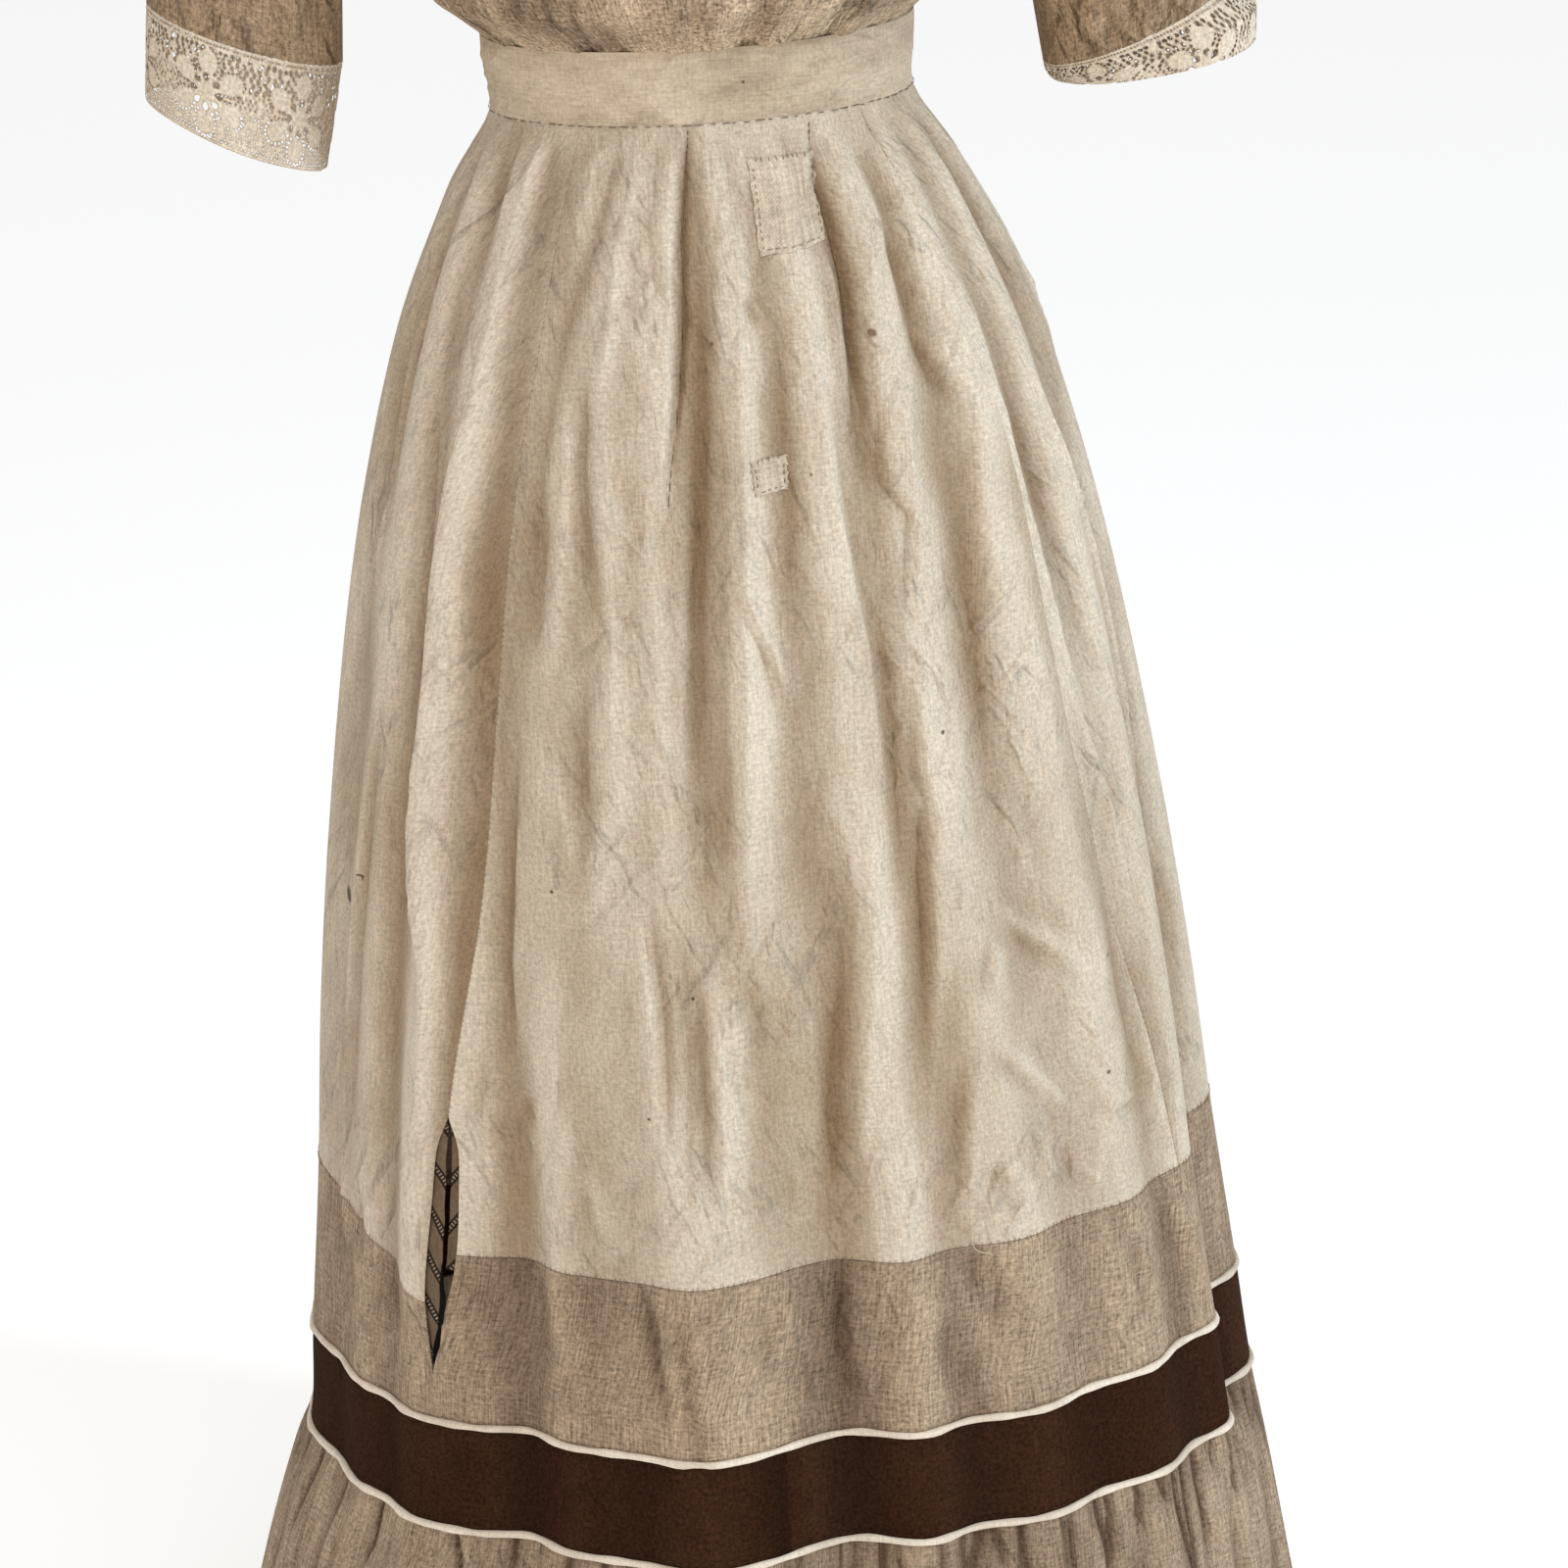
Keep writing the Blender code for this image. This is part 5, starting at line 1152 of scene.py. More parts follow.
def makeFlounce():
    share = np.linspace(0, 1, flounce["rows"] + 1)[:, None] ** flounce["packing"]
    drop = blend(skirt["lowerPiping"], skirt["hemDrop"], share)
    turn = np.linspace(0, 2 * math.pi, flounce["columns"] + 1)[None, :]
    phase = flounce["gathers"] * turn + 1.4 * np.sin(5 * turn) + 0.9 * np.sin(12 * turn + 1)
    wander = 1.1 * np.sin(13 * turn + 2) * share
    wave = np.sin(phase + wander + 0.55 * np.sin(phase + 1.0))
    uneven = (1 + 0.3 * np.cos(11 * turn)) * (1 + 0.35 * np.sin(17 * turn + 1.0))
    size = blend(flounce["size"][0], flounce["size"][1], ease(share * 1.15)) * uneven
    angle = np.degrees(turn) + 0 * drop
    form = flounce["creaseRadius"], flounce["creaseEnd"]
    creased = creaseHeight(flounceCreases, turnedBetween(angle), drop, *form)
    out = size * (wave - 1) + creased * ease((share + 0.004) / 0.02) + turnedIn(drop, skirt["lowerPiping"])
    # painted shade in the troughs of the gathers and in the creases
    paintedShading = np.clip(-wave * 0.5 * ease(share * 2) - creased * 430, -1, 1.7)
    points = skirtSurface(angle, drop, out)
    piece = sheetMesh("flounceCloth", points, finishes["tanLinen"], ring=True, paintedShading=paintedShading)
    settle(piece, ["flounce"])


makeWaistband()
makeTanBand()
makeBrownBand()
makePiping("upperPipingCord", "piping_upper", skirt["upperPiping"])
makePiping("lowerPipingCord", "piping_lower", skirt["lowerPiping"])
makeFlounce()
print("bands made")

# bodice
bodice = {
    "height": (0.000, 0.010, 0.025, 0.055, 0.110, 0.170, 0.230, 0.300, 0.370),
    "side": (0.1215, 0.1330, 0.1500, 0.1540, 0.1600, 0.1700, 0.1740, 0.1860, 0.2000),
    "front": (0.0945, 0.1080, 0.1230, 0.1260, 0.1310, 0.1330, 0.1240, 0.1080, 0.1000),
    "back": (0.0945, 0.1020, 0.1090, 0.1080, 0.1090, 0.1110, 0.1110, 0.1050, 0.1000),
    "base": -0.368,
    "underarm": -0.200,
    "tip": (0.186, -0.034),
    "neck": (0.078, 0.004),
    "neckLow": {"front": -0.072, "back": -0.022},
    "rounding": -0.230,
    "leanPower": 2.4,
    "inset": 0.034,
    "skew": 0.62,
    "rows": 100,
    "packing": 0.72,
    "creaseRadius": 0.150,
    "creaseSize": 1.4,
    "edgeRoll": (0.0008, 0.6),
    "tucked": (0.985, 0.985, 1.0),
    # node, from and to in degrees, facing, columns, flat size and area
    "panels": {
        "bodiceFront": ("bodice_front", -32.0, 32.0, "front", 82, (0.22, 0.36), 0.06),
        "bodiceSideRight": ("bodice_side_right", 32.0, 90.0, "front", 56, (0.20, 0.36), 0.045),
        "bodiceSideLeft": ("bodice_side_left", -90.0, -32.0, "front", 56, (0.20, 0.36), 0.045),
        "bodiceBackRight": ("bodice_back_right", 90.0, 0.0, "back", 70, (0.22, 0.36), 0.06),
        "bodiceBackLeft": ("bodice_back_left", 0.0, -90.0, "back", 70, (0.22, 0.36), 0.06),
    },
}


def bodyHalf(z):
    return readCurve(bodice["height"], bodice["side"], z - bodice["base"])


def crestZ(x):
    share = np.maximum(np.abs(x) - bodice["neck"][0], 0) / (bodice["tip"][0] - bodice["neck"][0])
    return blend(bodice["neck"][1], bodice["tip"][1], share)


def sideTurn(share):
    share = np.clip(share, 0, 1)
    z = blend(bodice["underarm"], bodice["tip"][1], share)
    wide = blend(float(bodyHalf(bodice["underarm"])), bodice["tip"][0], ease(share))
    wide = wide - bodice["inset"] * np.sin(math.pi * share ** bodice["skew"])
    return np.arcsin(np.clip(wide / bodyHalf(z), -1, 1))


def columnTurn(degrees, share):
    drawn = (math.pi / 2 - sideTurn(share)) * (degrees / 90.0) ** 2
    return np.radians(degrees) - np.copysign(drawn, degrees)


def neckDegrees():
    wanted = math.asin(bodice["neck"][0] / float(bodyHalf(bodice["neck"][1])))
    drawn = (math.pi / 2 - float(sideTurn(1.0))) / (math.pi / 2) ** 2
    return math.degrees((1 - math.sqrt(1 - 4 * drawn * wanted)) / (2 * drawn))


neckEnd = neckDegrees()


def topZ(degrees, facing):
    turn = columnTurn(np.abs(degrees), 1.0)
    reach = bodyHalf(bodice["neck"][1]) * np.sin(turn)
    for _ in range(4):
        reach = bodyHalf(crestZ(reach)) * np.sin(turn)
    share = np.clip(np.abs(degrees) / neckEnd, 0, 1)
    neckline = bodice["neck"][1] - (bodice["neck"][1] - bodice["neckLow"][facing]) * np.sqrt(1 - share**2)
    return np.where(np.abs(degrees) >= neckEnd, crestZ(reach), neckline)


def bodySurface(x, z, facing, out=0.0):
    depth = readCurve(bodice["height"], bodice[facing], z - bodice["base"])
    depth = depth * np.sqrt(np.clip(1 - (x / bodyHalf(z)) ** 2, 0, 1))
    lean = np.clip((z - bodice["rounding"]) / (crestZ(x) - bodice["rounding"]), 0, 1)
    depth = depth * np.sqrt(np.clip(1 - lean ** bodice["leanPower"], 0, 1)) + out
    return np.stack(np.broadcast_arrays(x, -depth if facing == "front" else depth, z), axis=-1)


# height runs from 0 at the waistband to 1 at the underarm and 2 at the neck or shoulder
def bodicePoint(degrees, height, facing, out=0.0):
    low = np.clip(height, 0, 1)
    high = np.clip(height - 1, 0, 1)
    zLow = blend(bodice["base"] + 0.0004, bodice["underarm"], low)
    zHigh = blend(bodice["underarm"], topZ(degrees, facing), high)
    z = np.where(height <= 1, zLow, zHigh)
    turn = np.where(height <= 1, np.radians(degrees), columnTurn(degrees, high))
    return bodySurface(bodyHalf(z) * np.sin(turn), z, facing, out)


def gatherRows(seed, count):
    dice = random.Random(seed)
    rows = []
    for index in range(count):
        angle = -84 + 168 * (index + dice.uniform(0.15, 0.85)) / count
        lean = dice.uniform(-4, 4)
        size = dice.choice((-1, 1)) * dice.uniform(2.2, 4.2)
        rows.append((dice.uniform(3.5, 6.5), size, dice.choice((-1, 0, 1)), (angle, -0.022),
                     (angle + lean * 0.4, 0.014), (angle + lean, dice.uniform(0.025, 0.060))))
    return rows


# gathers above the waistband, rows as before, with the height above the waistband in place of the drop
handGathers = inMetres((
    (3.0, -4.5, 1, -29.0, -22, -28.2, 10, -26.8, 26, -25.6, 40),
    (6.0, 3.0, 0, -33.5, -22, -32.8, 18, -31.0, 42),
    (7.0, 3.4, 0, -52.0, -22, -47.0, 16, -40.0, 28),
    (5.0, -2.6, 0, -60.0, -22, -52.0, 22, -43.0, 40),
    (6.0, 2.6, 0, -70.0, -22, -62.0, 26, -54.0, 50),
    (5.0, 2.4, -1, -9.0, -22, -7.5, 20, -4.0, 50),
    (5.0, -2.6, 0, -4.0, -22, -3.0, 18, -0.5, 36),
    (6.0, 2.6, 0, 3.0, -22, 4.0, 22, 8.0, 48),
    (4.0, -3.0, 0, 10.5, -22, 11.5, 14, 13.0, 30),
    (6.0, 2.8, 0, 16.0, -22, 18.0, 20, 22.0, 40),
    (4.0, -3.0, 0, 36.0, -22, 34.0, 14, 30.0, 34),
    (6.0, 3.0, 0, 44.0, -22, 42.0, 20, 36.0, 46),
    (5.0, -2.8, 0, 52.0, -22, 50.0, 18, 46.0, 36),
    (6.0, 2.8, 0, 62.0, -22, 58.0, 24, 55.0, 50),
))
fineForm = ((0.025, 0.060), (3.0, 6.0))
broadForm = ((0.060, 0.300), (-1.3, 1.3), (0.035, 0.110), (4.0, 9.0))
bodiceCreases = {
    "front": handGathers + gatherRows(46, 9)
    + looseCreases(41, 34, (-86, 86), (0.008, 0.050), (-0.7, 0.7), *fineForm, (0.8, 2.2))
    + looseCreases(42, 44, (-84, 84), *broadForm, (0.8, 2.4)),
    "back": gatherRows(45, 20)
    + looseCreases(43, 40, (-86, 86), (0.008, 0.050), (-0.6, 0.6), *fineForm, (0.8, 2.4))
    + looseCreases(44, 40, (-84, 84), *broadForm, (0.8, 2.2)),
}


def bodiceRelief(degrees, height, facing):
    up = bodicePoint(degrees, height, facing)[..., 2] - bodice["base"]
    creased = creaseHeight(bodiceCreases[facing], degrees, up, bodice["creaseRadius"])
    return bodice["creaseSize"] * creased * ease((up + 0.001) / 0.004) * ease((2.0 - height) / 0.12)


def makeBodice():
    for name, (node, first, last, facing, columns, cut, area) in bodice["panels"].items():
        degrees = np.linspace(first, last, columns + 1)[None, :]
        height = 2 * (1 - np.linspace(0, 1, bodice["rows"] + 1)[:, None] ** bodice["packing"])
        fromEdge = np.minimum(np.abs(degrees - first), np.abs(degrees - last))
        roll = -bodice["edgeRoll"][0] * np.exp(-((fromEdge / bodice["edgeRoll"][1]) ** 2))
        relief = bodiceRelief(degrees, height, facing) * ease((90.0 - np.abs(degrees)) / 5.0)
        if facing == "back":
            relief = relief * ease((np.abs(degrees) - 5.0) / 6.0)
        points = bodicePoint(degrees, height, facing, roll + relief)
        # the lowest row is tucked in behind the waistband
        points[-1] = points[-1] * bodice["tucked"] - (0, 0, 0.003)
        piece = sheetMesh(name, points, finishes["bodiceLinen"])
        settle(piece, [node])


makeBodice()
print("bodice made")

# the neck's round binding
binding = {"radius": 0.0020, "columns": 72, "sides": 12, "raised": 0.0012, "heights": (2.0, 1.97)}


def makeBinding():
    halfRound = np.linspace(-1, 1, binding["columns"] // 2 + 1)
    loop = []
    for facing, degrees in (("front", halfRound[:-1] * neckEnd), ("back", -halfRound[:-1] * neckEnd)):
        for at in degrees:
            loop.append([bodicePoint(at, np.array(height), facing) for height in binding["heights"]])
    edge, under = np.array(loop)[:, 0], np.array(loop)[:, 1]
    along = unit(np.roll(edge, -1, axis=0) - np.roll(edge, 1, axis=0))
    upwards = edge - under
    upwards = unit(upwards - along * (upwards * along).sum(axis=1)[:, None])
    outwards = np.cross(along, upwards)
    middle = edge + upwards * binding["raised"]
    turn = np.linspace(0, 2 * math.pi, binding["sides"] + 1)[:, None, None]
    points = middle + binding["radius"] * (np.cos(turn) * upwards + np.sin(turn) * outwards)
    points = np.concatenate([points, points[:, :1]], axis=1)
    piece = sheetMesh("neckBindingCord", points, finishes["bodiceLinen"], ring=True, wall=0, tube=True)
    settle(piece, ["neck_binding"])


# shell buttons down the back: a turned rim, a dish and crossed thread whose ends sink in at four points
buttons = {
    "count": 6,
    "x": 0.010,
    "top": -0.050,
    "bottom": -0.335,
    "radius": 0.0055,
    "wall": 0.0026,
    "eye": 0.0011,
    "rim": 0.0012,
    "dish": 0.0006,
    "round": 0.0005,
    "corners": 32,
    "sharpFrom": 40,
    "seat": 0.0004,
    "step": 0.003,
    "threadShares": (0.0, 0.15, 0.5, 0.85, 1.0),
    "threadRise": 0.0002,
}


def shellMaterial():
    material, tree, shader = newMaterial("buttonShell")
    place = tree.nodes.new("ShaderNodeTexCoord")
    layered = stretched(tree, place.outputs["Object"], 1.0, 1.0, 0.3)
    swirl = noise(tree, layered, 260.0, detail=4.0, roughness=0.6)
    colour = mixColours(tree, ranged(tree, swirl, 0.35, 0.70), (0.66, 0.58, 0.46, 1), (0.42, 0.33, 0.23, 1))
    tree.links.new(colour, shader.inputs["Base Color"])
    tree.links.new(ranged(tree, swirl, 0.3, 0.7, 0.28, 0.48), shader.inputs["Roughness"])
    return material


def makeButton(number, z, shell):
    bpy.ops.object.select_all(action="DESELECT")
    bpy.ops.mesh.primitive_cylinder_add(
        vertices=buttons["corners"], radius=buttons["radius"], depth=buttons["wall"]
    )
    button = bpy.context.object
    button.name = "backButton" + str(number)
    button.data.name = button.name
    bpy.ops.object.mode_set(mode="EDIT")
    bpy.ops.mesh.select_all(action="SELECT")
    bpy.ops.mesh.bevel(offset=buttons["round"], segments=2, affect="EDGES")
    bpy.ops.mesh.select_all(action="DESELECT")
    bpy.ops.object.mode_set(mode="OBJECT")
    top = max(button.data.polygons, key=lambda face: face.center.z)
    top.select = True
    bpy.ops.object.mode_set(mode="EDIT")
    bpy.ops.mesh.inset(thickness=buttons["rim"])
    bpy.ops.mesh.inset(thickness=buttons["round"], depth=-buttons["dish"])
    bpy.ops.object.mode_set(mode="OBJECT")
    spots = ((0, 0), (buttons["step"], 0), (0, buttons["step"]))
    point, beside, above = (
        bodySurface(np.array(buttons["x"] + right), np.array(z + up), "back") for right, up in spots
    )
    normal = Vector(np.cross(above - point, beside - point)).normalized()
    if normal.y < 0:
        normal.negate()
    seat = Vector(point) + normal * (buttons["wall"] / 2 + buttons["seat"])
    turned = Matrix.Translation(seat) @ normal.to_track_quat("Z", "Y").to_matrix().to_4x4()
    button.data.transform(turned)
    button.data.materials.append(shell)
    button.data.set_sharp_from_angle(angle=math.radians(buttons["sharpFrom"]))
    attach(button, "root")
    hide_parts("button_" + str(number))
    face = buttons["wall"] / 2 - buttons["dish"]
    runs = []
    for first, last in (((-1, -1), (1, 1)), ((-1, 1), (1, -1))):
        places = []
        for share in buttons["threadShares"]:
            x = blend(first[0], last[0], share) * buttons["eye"]
            y = blend(first[1], last[1], share) * buttons["eye"]
            rise = buttons["threadRise"] * (1 if 0 < share < 1 else -1)
            places.append(tuple(turned @ Vector((x, y, face + rise))))
        runs.append(np.array(places))
    return runs


def makeButtons():
    shell = shellMaterial()
    runs = []
    for index in range(buttons["count"]):
        z = blend(buttons["top"], buttons["bottom"], index / (buttons["count"] - 1))
        runs += makeButton(index + 1, z, shell)
    return runs


makeBinding()
buttonThreads = makeButtons()
print("binding and buttons made")

# sleeves: place down the sleeve (lace from 4 to 5), middle x and z, half width, half depth, and
# how far the outer end is lifted in degrees; the right lace is turned up inside from 4.52
sleeves = {
    "left": (
        (0.00, 0.2280, -0.1460, 0.0680, 0.0780, 66.0),
        (1.00, 0.2410, -0.2050, 0.0620, 0.0730, 40.0),
        (2.00, 0.2470, -0.2620, 0.0590, 0.0670, 27.0),
        (3.00, 0.2510, -0.3130, 0.0575, 0.0620, 22.0),
        (4.00, 0.2545, -0.3585, 0.0573, 0.0590, 21.0),
        (5.00, 0.2645, -0.4155, 0.0545, 0.0580, 26.0),
    ),
    "right": (
        (0.00, 0.2290, -0.1420, 0.0690, 0.0780, 66.0),
        (1.00, 0.2430, -0.1990, 0.0640, 0.0730, 40.0),
        (2.00, 0.2470, -0.2620, 0.0640, 0.0690, 28.0),
        (3.00, 0.2480, -0.3250, 0.0650, 0.0670, 23.0),
        (4.00, 0.2482, -0.3830, 0.0571, 0.0633, 21.9),
        (4.26, 0.2570, -0.3945, 0.0625, 0.0620, 15.0),
        (4.52, 0.2576, -0.4065, 0.0592, 0.0587, 7.4),
        (5.00, 0.2540, -0.3850, 0.0460, 0.0480, 15.0),
    ),
    "sign": {"left": -1, "right": 1},
    "nodes": {"left": "sleeve_left", "right": "sleeve_right"},
    "cut": {"left": (0.42, 0.27), "right": (0.42, 0.30)},
    "columns": 100,
    "rows": 64,
    "ringStep": 0.055,
    "creaseRadius": 0.062,
    "creaseSize": 1.5,
}


# ring runs down the table's first column, turn from the outer end over the front, in radians
def sleeveSurface(side, ring, turn, out=0.0):
    table = np.array(sleeves[side])
    ring = np.broadcast_to(ring, np.broadcast(ring, turn).shape)
    columns = [np.interp(ring, table[:, 0], table[:, index]) for index in range(1, 6)]
    middleX, middleZ, halfWidth, halfDepth, lift = columns
    lift = np.radians(lift)
    across = (halfWidth + out) * np.cos(turn)
    x = sleeves["sign"][side] * (middleX + across * np.cos(lift))
    return np.stack([x, -(halfDepth + out) * np.sin(turn), middleZ + across * np.sin(lift)], axis=-1)


def armholeEdge(side, turn):
    share = (1 + np.cos(turn)) / 2
    degrees = sleeves["sign"][side] * 90.0
    front, back = (bodicePoint(degrees, 1 + share, facing) for facing in ("front", "back"))
    return np.where((np.sin(turn) > 0)[..., None], front, back)


around = (-170, 170)
sleeveCreases = {
    "left": looseCreases(51, 46, around, (0.03, 0.205), (-1.2, 1.2), (0.03, 0.08), (3.5, 7.5), (0.7, 2.0)),
    "right": looseCreases(52, 50, around, (0.03, 0.215), (-0.6, 0.6), (0.03, 0.09), (3.5, 7.0), (0.9, 2.4)),
}


def sleeveRelief(side, ring, turn):
    degrees = turnedBetween(np.degrees(turn))
    drop = ring * sleeves["ringStep"] + 0 * turn
    creased = creaseHeight(sleeveCreases[side], degrees, drop, sleeves["creaseRadius"])
    # the creases are weaker at the lace
    atLace = 0.35 + 0.65 * ease((4.0 - ring) / 0.25)
    return sleeves["creaseSize"] * creased * ease((ring - 0.3) / 0.6) * atLace


def makeSleeve(side):
    turn = np.linspace(0, 2 * math.pi, sleeves["columns"] + 1)
    if side == "right":
        turn = turn[::-1]
    rows = []
    edge = armholeEdge(side, turn) + np.array([sleeves["sign"][side] * 0.0010, 0, 0])
    for at in np.linspace(-1, 4, sleeves["rows"] + 1):
        if at <= 0:
            rows.append(blend(edge, sleeveSurface(side, 0.0, turn), float(at + 1)))
        else:
            rows.append(sleeveSurface(side, at, turn, sleeveRelief(side, at, turn)))
    piece = sheetMesh("sleeveCloth" + side.capitalize(), np.array(rows), finishes["sleeveLinen"], ring=True)
    node, cut = sleeves["nodes"][side], sleeves["cut"][side]
    settle(piece, [node])


makeSleeve("left")
makeSleeve("right")
print("sleeves made")

# thread: rows of small stitches, joined to one piece
thread = {"sides": 4, "stations": 4, "endShare": 0.55, "aside": (0.13, 0.21, 0.97)}


# runs: for each stitch its points in a row
def joinStitches(name, runs, finish, radius):
    sides = thread["sides"]
    vertices, faces = [], []
    for places in runs:
        count = len(places)
        along = unit(np.gradient(places, axis=0))
        side = unit(np.cross(along, np.array(thread["aside"])))
        up = np.cross(side, along)
        first = len(vertices)
        for index in range(count):
            thick = radius * (thread["endShare"] if index in (0, count - 1) else 1.0)
            for corner in range(sides):
                turn = 2 * math.pi * (corner + 0.5) / sides
                outwards = math.cos(turn) * side[index] + math.sin(turn) * up[index]
                vertices.append(places[index] + thick * outwards)
        last = first + (count - 1) * sides
        for ring in range(first, last, sides):
            for corner in range(sides):
                a, b = ring + corner, ring + (corner + 1) % sides
                faces.append((a, b, b + sides, a + sides))
        faces.append(tuple(first + corner for corner in reversed(range(sides))))
        faces.append(tuple(last + corner for corner in range(sides)))
    mesh = bpy.data.meshes.new(name)
    mesh.from_pydata([tuple(vertex) for vertex in vertices], [], faces)
    mesh.update()
    mesh.materials.append(finishes[finish])
    mesh.shade_smooth()
    piece = placed(name, mesh)
    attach(piece, "root")


def onSkirt(angle, drop, lift):
    angle, drop = np.asarray(angle, float), np.asarray(drop, float)
    return skirtSurface(angle, drop, skirtCreased(angle, drop) + lift)


# stitches in metres: length, gap, how uneven they are, lift above the cloth and rise of the stitch
stitches = {
    "waist": (0.0042, 0.0026, 0.5, 0.0005, 0.0004),
    "gore": (0.0019, 0.0016, 0.3, -0.0001, 0.0003),
    "shownGore": (0.0019, 0.0016, 0.3, 0.0003, 0.0004),
    "dart": (0.0024, 0.0014, 0.3, 0.0003, 0.0004),
    # one long dark cord laid in a dart's trough: a painted shadow line rather than stitches
    "foldShadowLine": (0.0075, 0.0001, 0.3, 0.0003, 0.0004),
    "joint": (0.0032, 0.0042, 0.4, 0.0001, 0.0004),
    "piping": (0.0012, 0.0030, 0.4, 0.0, 0.0004),
    "hem": (0.0016, 0.0034, 0.4, 0.0, 0.0003),
    "patch": (0.0024, 0.0019, 0.25, 0.0013, 0.0005),
    "patchTop": (0.0030, 0.0036, 0.3, 0.0009, 0.0005),
}


# stitches along a line of (angle, drop); cross turns them square to it, as an overcast edge
def runAlong(line, kind, seed, cross=False):
    length, gap, uneven, lift, rise = stitches[kind]
    dice = random.Random(seed)
    line = np.array(line, float)
    spots = onSkirt(line[:, 0], line[:, 1], 0.0)
    reached = np.concatenate([[0.0], np.cumsum(np.linalg.norm(np.diff(spots, axis=0), axis=1))])
    starts = []
    at = gap
    while at < reached[-1] - length:
        long = length * (1 + uneven * dice.uniform(-1, 1))
        starts.append((at, long, dice.uniform(-1, 1)))
        at += (length if not cross else 0.0) + gap * (1 + uneven * dice.uniform(-1, 1))
    share = np.linspace(0, 1, thread["stations"])
    angles, drops = [], []
    for at, long, wander in starts:
        if cross:
            ahead = (at, at + 0.002)
            (angle0, angle1), (drop0, drop1) = (np.interp(ahead, reached, column) for column in line.T)
            perDegree = math.radians(1) * float(skirtRadius(drop0))
            flat = np.array([(angle1 - angle0) * perDegree, drop1 - drop0])
            flat /= np.linalg.norm(flat)
            across = np.array([-flat[1], flat[0]]) + flat * 0.25 * wander
            offset = (share - 0.5) * long
            angles.append(angle0 + offset * across[0] / perDegree)
            drops.append(drop0 + offset * across[1])
        else:
            angles.append(np.interp(at + long * share, reached, line[:, 0]))
            drops.append(np.interp(at + long * share, reached, line[:, 1]) + 0.0003 * wander)
    if not starts:
        return []
    lifts = np.array([lift + rise * np.sin(math.pi * share)] * len(starts))
    return list(onSkirt(np.array(angles), np.array(drops), lifts))


# patches of coarser linen on the front, each with its own stitches
patches = {
    "patchLarge": {
        "node": "patch_large", "cut": (0.042, 0.051), "cells": (56, 64), "inset": 0.055,
        "top": (9.6, 27.4), "bottom": (9.1, 24.2), "drops": (0.0200, 0.0690), "rise": 0.0042,
    },
    "patchSmall": {
        "node": "patch_small", "cut": (0.020, 0.019), "cells": (26, 26), "inset": 0.10,
        "top": (3.4, 9.6), "bottom": (3.7, 9.3), "drops": (0.1725, 0.1905), "rise": 0.0,
    },
}
patchForm = {
    "uneven": 0.0003,
    "crumple": 0.0003,
    "puff": 0.0005,
    "puffReach": 0.0015,
    "lift": 0.0008,
    "threadInset": 0.2,
    "threadDrop": 0.0006,
    "threadRadius": 0.00026,
}


def makePatch(name, patch, seed):
    columns, rows = patch["cells"]
    across, down = np.linspace(0, 1, columns + 1)[None, :], np.linspace(0, 1, rows + 1)[:, None]
    low = blend(patch["top"][0], patch["bottom"][0], down)
    high = blend(patch["top"][1], patch["bottom"][1], down)
    wavy = 0.12 * np.sin(down * 23 + seed) + 0.08 * np.sin(down * 51)
    angle = low + (high - low) * across + wavy * (2 * across - 1)
    drop = blend(patch["drops"][0], patch["drops"][1], down) - patch["rise"] * across * down
    drop = drop + (patchForm["uneven"] * np.sin(across * 19 + seed)) * (2 * down - 1)
    fromEdge = np.minimum(np.minimum(across, 1 - across) * 0.04, np.minimum(down, 1 - down) * 0.05)
    crumpled = patchForm["crumple"] * np.sin(across * 31 + 2 * np.sin(down * 9)) * np.sin(down * 27)
    puff = patchForm["puff"] * ease(fromEdge / patchForm["puffReach"]) + crumpled
    places = onSkirt(angle, drop + 0 * angle, patchForm["lift"] + puff)
    piece = sheetMesh(name, places, finishes["patchLinen"], wall=thinWall)
    settle(piece, [patch["node"]])
    near, far = patch["inset"], 1 - patch["inset"]
    corners = []
    for x, y in ((near, near), (near, far), (far, far), (far, near)):
        middle = blend(blend(*patch["top"], x), blend(*patch["bottom"], x), y)
        corners.append((middle, blend(*patch["drops"], y) - patch["rise"] * x * y))
    # stitches down the left, along the bottom and up the right; their dark thread stands in partly for the
    # shadow of the patch's edges
    runs = []
    for index in range(3):
        runs += runAlong(corners[index:index + 2], "patch", 20 + index + seed)
    left, right = patch["top"][0] + patchForm["threadInset"], patch["top"][1] - patchForm["threadInset"]
    top = patch["drops"][0] + patchForm["threadDrop"]
    runs += runAlong([(left, top), (right, top)], "patchTop", 40 + seed, cross=True)
    joinStitches(name + "Stitches", runs, "patchThreadAndEdgeShade", patchForm["threadRadius"])


for number, (name, patch) in enumerate(patches.items(), start=1):
    makePatch(name, patch, number)
print("patches made")

# the slit's facings: how far each shows into it, and from where it is painted near black as shade, as shares
# of its width; low down the left one reaches across the slit, its dark part standing in for the shade in the
# gap
facings = {
    "facingStripLeft": {
        "node": "facing_left", "sign": -1, "cut": (0.014, 0.15),
        "drops": (0.551, 0.568, 0.600, 0.636, 0.655, 0.675, 0.701),
        "shown": (0.44, 0.46, 0.50, 0.60, 1.02, 1.04, 1.10),
        "lit": (0.90, 0.90, 0.90, 0.56, 0.70, 0.68, -0.30),
    },
    "facingStripRight": {
        "node": "facing_right", "sign": 1, "cut": (0.012, 0.09),
        "drops": (0.551, 0.568, 0.600, 0.640),
        "shown": (0.36, 0.38, 0.40, 0.38),
        "lit": (0.9, 0.9, 0.9, 0.9),
    },
}

facingForm = {
    "rows": 70,
    "columns": 26,
    "under": 0.0045,
    "deep": 0.0028,
    "beside": 4.0,
    "bow": 0.0006,
    "ripple": (0.0004, 260),
    "darkReach": 0.0006,
}


